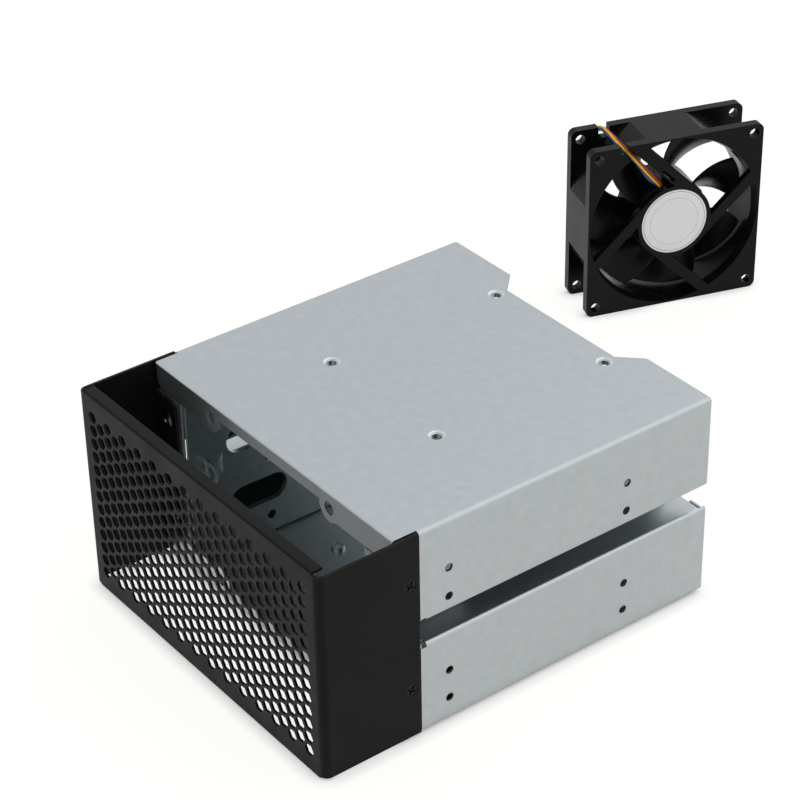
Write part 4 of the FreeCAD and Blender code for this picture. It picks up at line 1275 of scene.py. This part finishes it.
@dataclass(frozen=True)
class Windings:
    """Copper wire on the stator's poles, in millimetres of the fan's own frame."""

    poles: int = 4
    tube_radius: float = 4.75
    stator_low: float = 10.0
    stator_high: float = 15.6
    stator_hub: float = 1.8
    neck: float = 3.4
    shoe_inner: float = 10.9
    wire: float = 0.2
    wire_fill: float = 0.98
    wire_sides: int = 5
    layers: int = 3
    lift: float = 0.05
    hub_gap: float = 0.15
    shoe_gap: float = 0.1
    corner: float = 0.35

    def build(self, place: Place, paints: Paintbox) -> None:
        """Winds the wire in layers round each pole's neck, as rounded rectangular turns.

        Args:
            place: the fan's own frame.
            paints: the finishes.
        """
        shell = Shell()
        start = self.tube_radius + self.stator_hub + self.hub_gap + self.wire
        pitch = 2 * self.wire
        count = int((self._end() - self.wire - start) / pitch)
        for pole in range(self.poles):
            angle = 2 * math.pi * pole / self.poles
            out = place.x * math.cos(angle) + place.y * math.sin(angle)
            neck = Place(place.origin, np.cross(place.z, out), place.z, out)
            for layer in range(self.layers):
                for k in range(count):
                    loop = self._turn(layer, start + k * pitch)
                    shell.torus(self._closed_tube(neck.at(loop * MM)))
        piece = shell.build("coil_windings")
        paints.paint(piece, "copper_wire")
        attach(piece, CAGE)
        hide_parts("stator_coils")

    def _end(self) -> float:
        """How far out the windings go: where the outer layer's side meets the pole's round shoe."""
        half = self.neck / 2 + 2 * self.wire * self.layers + self.lift
        return math.sqrt(self.shoe_inner ** 2 - half ** 2) - self.shoe_gap

    def _turn(self, layer: int, out: float) -> np.ndarray:
        """One rectangular turn with round corners.

        Args:
            layer: the turn's layer, 0 on the neck.
            out: its distance from the fan's axis.

        Returns:
            Its points, in order round the neck.
        """
        lift = self.wire * (1 + 2 * layer) + self.lift
        half_x = self.neck / 2 + lift
        half_z = (self.stator_high - self.stator_low) / 2 + lift
        middle = (self.stator_high + self.stator_low) / 2
        corner = self.corner + self.wire * 2 * layer
        loop = []
        for k, (sx, sz) in enumerate(((1, 1), (-1, 1), (-1, -1), (1, -1))):
            for step in (0, 45, 90):
                a = math.radians(90 * k + step)
                loop.append((sx * (half_x - corner) + corner * math.cos(a),
                             middle + sz * (half_z - corner) + corner * math.sin(a), out))
        return np.array(loop)

    def _closed_tube(self, path: np.ndarray) -> np.ndarray:
        """Loops of a thin tube along a closed flat path: p + r (out cos t + normal sin t).

        Args:
            path: points of the turn, in metres.

        Returns:
            Loops of points, one for each point of the path.
        """
        ahead, behind = np.roll(path, -1, axis=0), np.roll(path, 1, axis=0)
        along = ahead - behind
        along /= np.linalg.norm(along, axis=1)[:, None]
        corner = len(path) // 4
        normal = np.cross(path[corner] - path[0], path[2 * corner] - path[0])
        normal /= np.linalg.norm(normal)
        out = np.cross(along, normal)
        turn = np.linspace(0, 2 * math.pi, self.wire_sides, endpoint=False)
        radius = self.wire * MM * self.wire_fill
        return path[:, None, :] + radius * (out[:, None, :] * np.cos(turn)[None, :, None]
                                            + normal[None, None, :] * np.sin(turn)[None, :, None])


@dataclass(frozen=True)
class Bearings:
    """The ball bearings and the spring between them, in millimetres of the fan's own frame."""

    shaft_radius: float = 1.53
    radius: float = 4.0
    width: float = 4.0
    front: float = 19.4
    rear: float = 7.0
    race: float = 0.7
    race_edge: float = 0.12
    shield_in: float = 0.78
    shield_out: float = 0.72
    shield_width: float = 0.25
    shield_from: tuple[float, float] = (0.35, 3.4)
    shield_edge: float = 0.08
    balls: int = 7
    ball_radius: float = 0.56
    spring_radius: float = 3.4
    spring_wire: float = 0.18
    spring_turns: float = 2.5
    spring_height: float = 1.2
    spring_gap: float = 0.2
    spring_points: int = 90

    def build(self, place: Place, paints: Paintbox) -> None:
        """Makes the two bearings, then the spring."""
        self._pair(place, paints)
        self._spring(place, paints)

    def _pair(self, place: Place, paints: Paintbox) -> None:
        """Two ball bearings: races, balls between them, and a shield on each side.

        Args:
            place: the fan's own frame.
            paints: the finishes.
        """
        shell = Shell()
        first, last = self.shaft_radius, self.radius
        middle = (first + last) / 2
        for low in (self.rear, self.front):
            high = low + self.width
            for radii in ((first, first + self.race), (last - self.race, last)):
                shell.torus(turned_ring(place, radii, (low, high), self.race_edge))
            for start in self.shield_from:
                side = low + start
                shell.torus(turned_ring(place, (first + self.shield_in, last - self.shield_out),
                                        (side, side + self.shield_width), self.shield_edge))
            for k in range(self.balls):
                angle = 2 * math.pi * k / self.balls
                x, y = middle * math.cos(angle), middle * math.sin(angle)
                centre = place.moved(x * MM, y * MM, (low + high) / 2 * MM)
                ball = dome(self.ball_radius, self.ball_radius, (-84, 84), 9)
                shell.loft(lathe(centre, ball, 16))
        piece = shell.build("ball_bearings")
        paints.paint(piece, "bearing_steel")
        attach(piece, CAGE)
        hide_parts("front_bearing", "rear_bearing")

    def _spring(self, place: Place, paints: Paintbox) -> None:
        """The preload spring: wire along (R cos t, R sin t, z), flat over its first and last half turn.

        Args:
            place: the fan's own frame.
            paints: the finishes.
        """
        low = self.rear + self.width + self.spring_gap
        t = np.linspace(0, 2 * math.pi * self.spring_turns, self.spring_points)
        rise = self.spring_height * np.clip((t - math.pi) / (t[-1] - 2 * math.pi), 0, 1)
        x, y = self.spring_radius * np.cos(t), self.spring_radius * np.sin(t)
        points = np.column_stack((x, y, low + rise))
        shell = Shell()
        shell.loft(tube(place.at(points * MM), self.spring_wire * MM, 8))
        piece = shell.build("preload_spring")
        paints.paint(piece, "bearing_steel")
        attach(piece, CAGE)
        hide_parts("bearing_spring")


@dataclass(frozen=True)
class Chip:
    """One flat part on the board: its place round the fan's axis, and its size."""

    radius: float
    degrees: float
    wide: float
    deep: float
    high: float


@dataclass(frozen=True)
class Board:
    """Chips and solder joints on the driver board's inner side, in millimetres."""

    low: float = 21.4
    chip_edge: float = 0.1
    chips: tuple[Chip, ...] = (
        Chip(9.6, 20, 3.0, 2.6, 0.9), Chip(9.8, 75, 2.0, 1.3, 0.6), Chip(10.2, 110, 2.0, 1.3, 0.6),
        Chip(9.4, 165, 2.9, 1.6, 0.9), Chip(10.4, 205, 1.6, 0.9, 0.5), Chip(9.0, 240, 1.6, 0.9, 0.5),
        Chip(9.8, 290, 2.9, 1.6, 0.9), Chip(10.4, 335, 1.6, 0.9, 0.5),
    )
    joints: int = 12
    joint_circle: float = 13.4
    joint_first: float = 15.0
    joint_radius: float = 0.62
    joint_height: float = 0.4

    def build(self, place: Place, paints: Paintbox) -> None:
        """Makes the chips and the solder joints as one piece.

        Args:
            place: the fan's own frame.
            paints: the finishes.
        """
        shell = Shell()
        under = Place(place.origin, place.x, -place.y, -place.z)
        for chip in self.chips:
            size = (chip.wide * MM, chip.deep * MM, chip.high * MM)
            shell.loft(slab(self._spot(under, chip.radius, chip.degrees), size, self.chip_edge * MM), 0)
        for k in range(self.joints):
            spot = self._spot(under, self.joint_circle, self.joint_first + 360 / self.joints * k)
            shell.loft(lathe(spot, dome(self.joint_radius, self.joint_height, (2, 80), 5), 12), 1)
        piece = shell.build("board_parts")
        paints.paint(piece, "chip_resin", "solder")
        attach(piece, CAGE)

    def _spot(self, under: Place, radius: float, degrees: float) -> Place:
        """A place on the board's inner side, at a radius and a turn.

        Args:
            under: the fan's own frame turned over, Z towards the back face.
            radius: distance from the fan's axis, in millimetres.
            degrees: turn round the axis.

        Returns:
            The place.
        """
        angle = math.radians(degrees)
        x, y = radius * math.cos(angle), radius * math.sin(angle)
        return under.moved(x * MM, y * MM, -self.low * MM)


@dataclass(frozen=True)
class Label:
    """Thin plain rings printed on the hub's label, in millimetres of the fan's own frame."""

    top: float = 24.9
    rings: tuple[tuple[float, float], ...] = ((14.1, 14.3), (11.1, 11.2))
    sunk: float = 0.01
    proud: float = 0.015
    edge: float = 0.005

    def build(self, place: Place, paints: Paintbox) -> None:
        """Makes the rings as one piece.

        Args:
            place: the fan's own frame.
            paints: the finishes.
        """
        shell = Shell()
        for radii in self.rings:
            shell.torus(turned_ring(place, radii, (self.top - self.sunk, self.top + self.proud),
                                    self.edge, 96))
        piece = shell.build("label_rings")
        paints.paint(piece, "label_ink")
        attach(piece, CAGE)


@dataclass(frozen=True)
class FrameRims:
    """Raised rims round the fan frame's screw holes, in millimetres."""

    square: float = 71.5
    hole: float = 2.15
    gap: float = 0.02
    rim: float = 2.9
    proud: float = 0.04
    edge: float = 0.02

    def build(self, place: Place, paints: Paintbox) -> None:
        """Makes a rim at both faces of each corner.

        Args:
            place: the fan's own frame.
            paints: the finishes.
        """
        shell = Shell()
        half = self.square / 2
        for x in (-half, half):
            for y in (-half, half):
                for z in (FAN_DEPTH, 0.0):
                    spot = place.moved(x * MM, y * MM, z * MM)
                    shell.torus(turned_ring(spot, (self.hole + self.gap, self.rim),
                                            (-self.proud, self.proud), self.edge, 40))
        piece = shell.build("frame_hole_rims")
        paints.paint(piece, "black_plastic")
        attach(piece, CAGE)


# ---- Assembly -------------------------------------------------------------------------------


def clear_start() -> None:
    """Removes the objects that a new Blender file starts with."""
    for piece in list(bpy.context.scene.objects):
        bpy.data.objects.remove(piece)


def fan_place(record: dict) -> Place:
    """The fan's own frame, read from the mount at its corner holes.

    Args:
        record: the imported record.

    Returns:
        The place whose origin is on the fan's axis, at the back face.
    """
    mount = next(m for m in record["mounts"] if m["name"] == "fan_frame_holes")
    face = Place.along(mount["pos_m"], mount["axis"])
    return face.moved(0, 0, -FAN_DEPTH * MM)


def main() -> None:
    """Builds the whole scene."""
    logging.basicConfig(level=logging.INFO, format="%(message)s")
    clear_start()
    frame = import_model()
    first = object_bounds()
    Viewpoint().build()
    paints = Paintbox(FINISHES)
    fan = fan_place(frame["record"])
    Lead().build(fan, paints)
    Plug().build(fan, paints)
    paints.carry_over(frame["nodes"])
    Fasteners().build(paints)
    SheetDetails().build(frame["record"], paints)
    for part in (Windings(), Bearings(), Board(), Label(), FrameRims()):
        part.build(fan, paints)
    Studio().build(first[0].z)


if __name__ == "__main__":
    main()
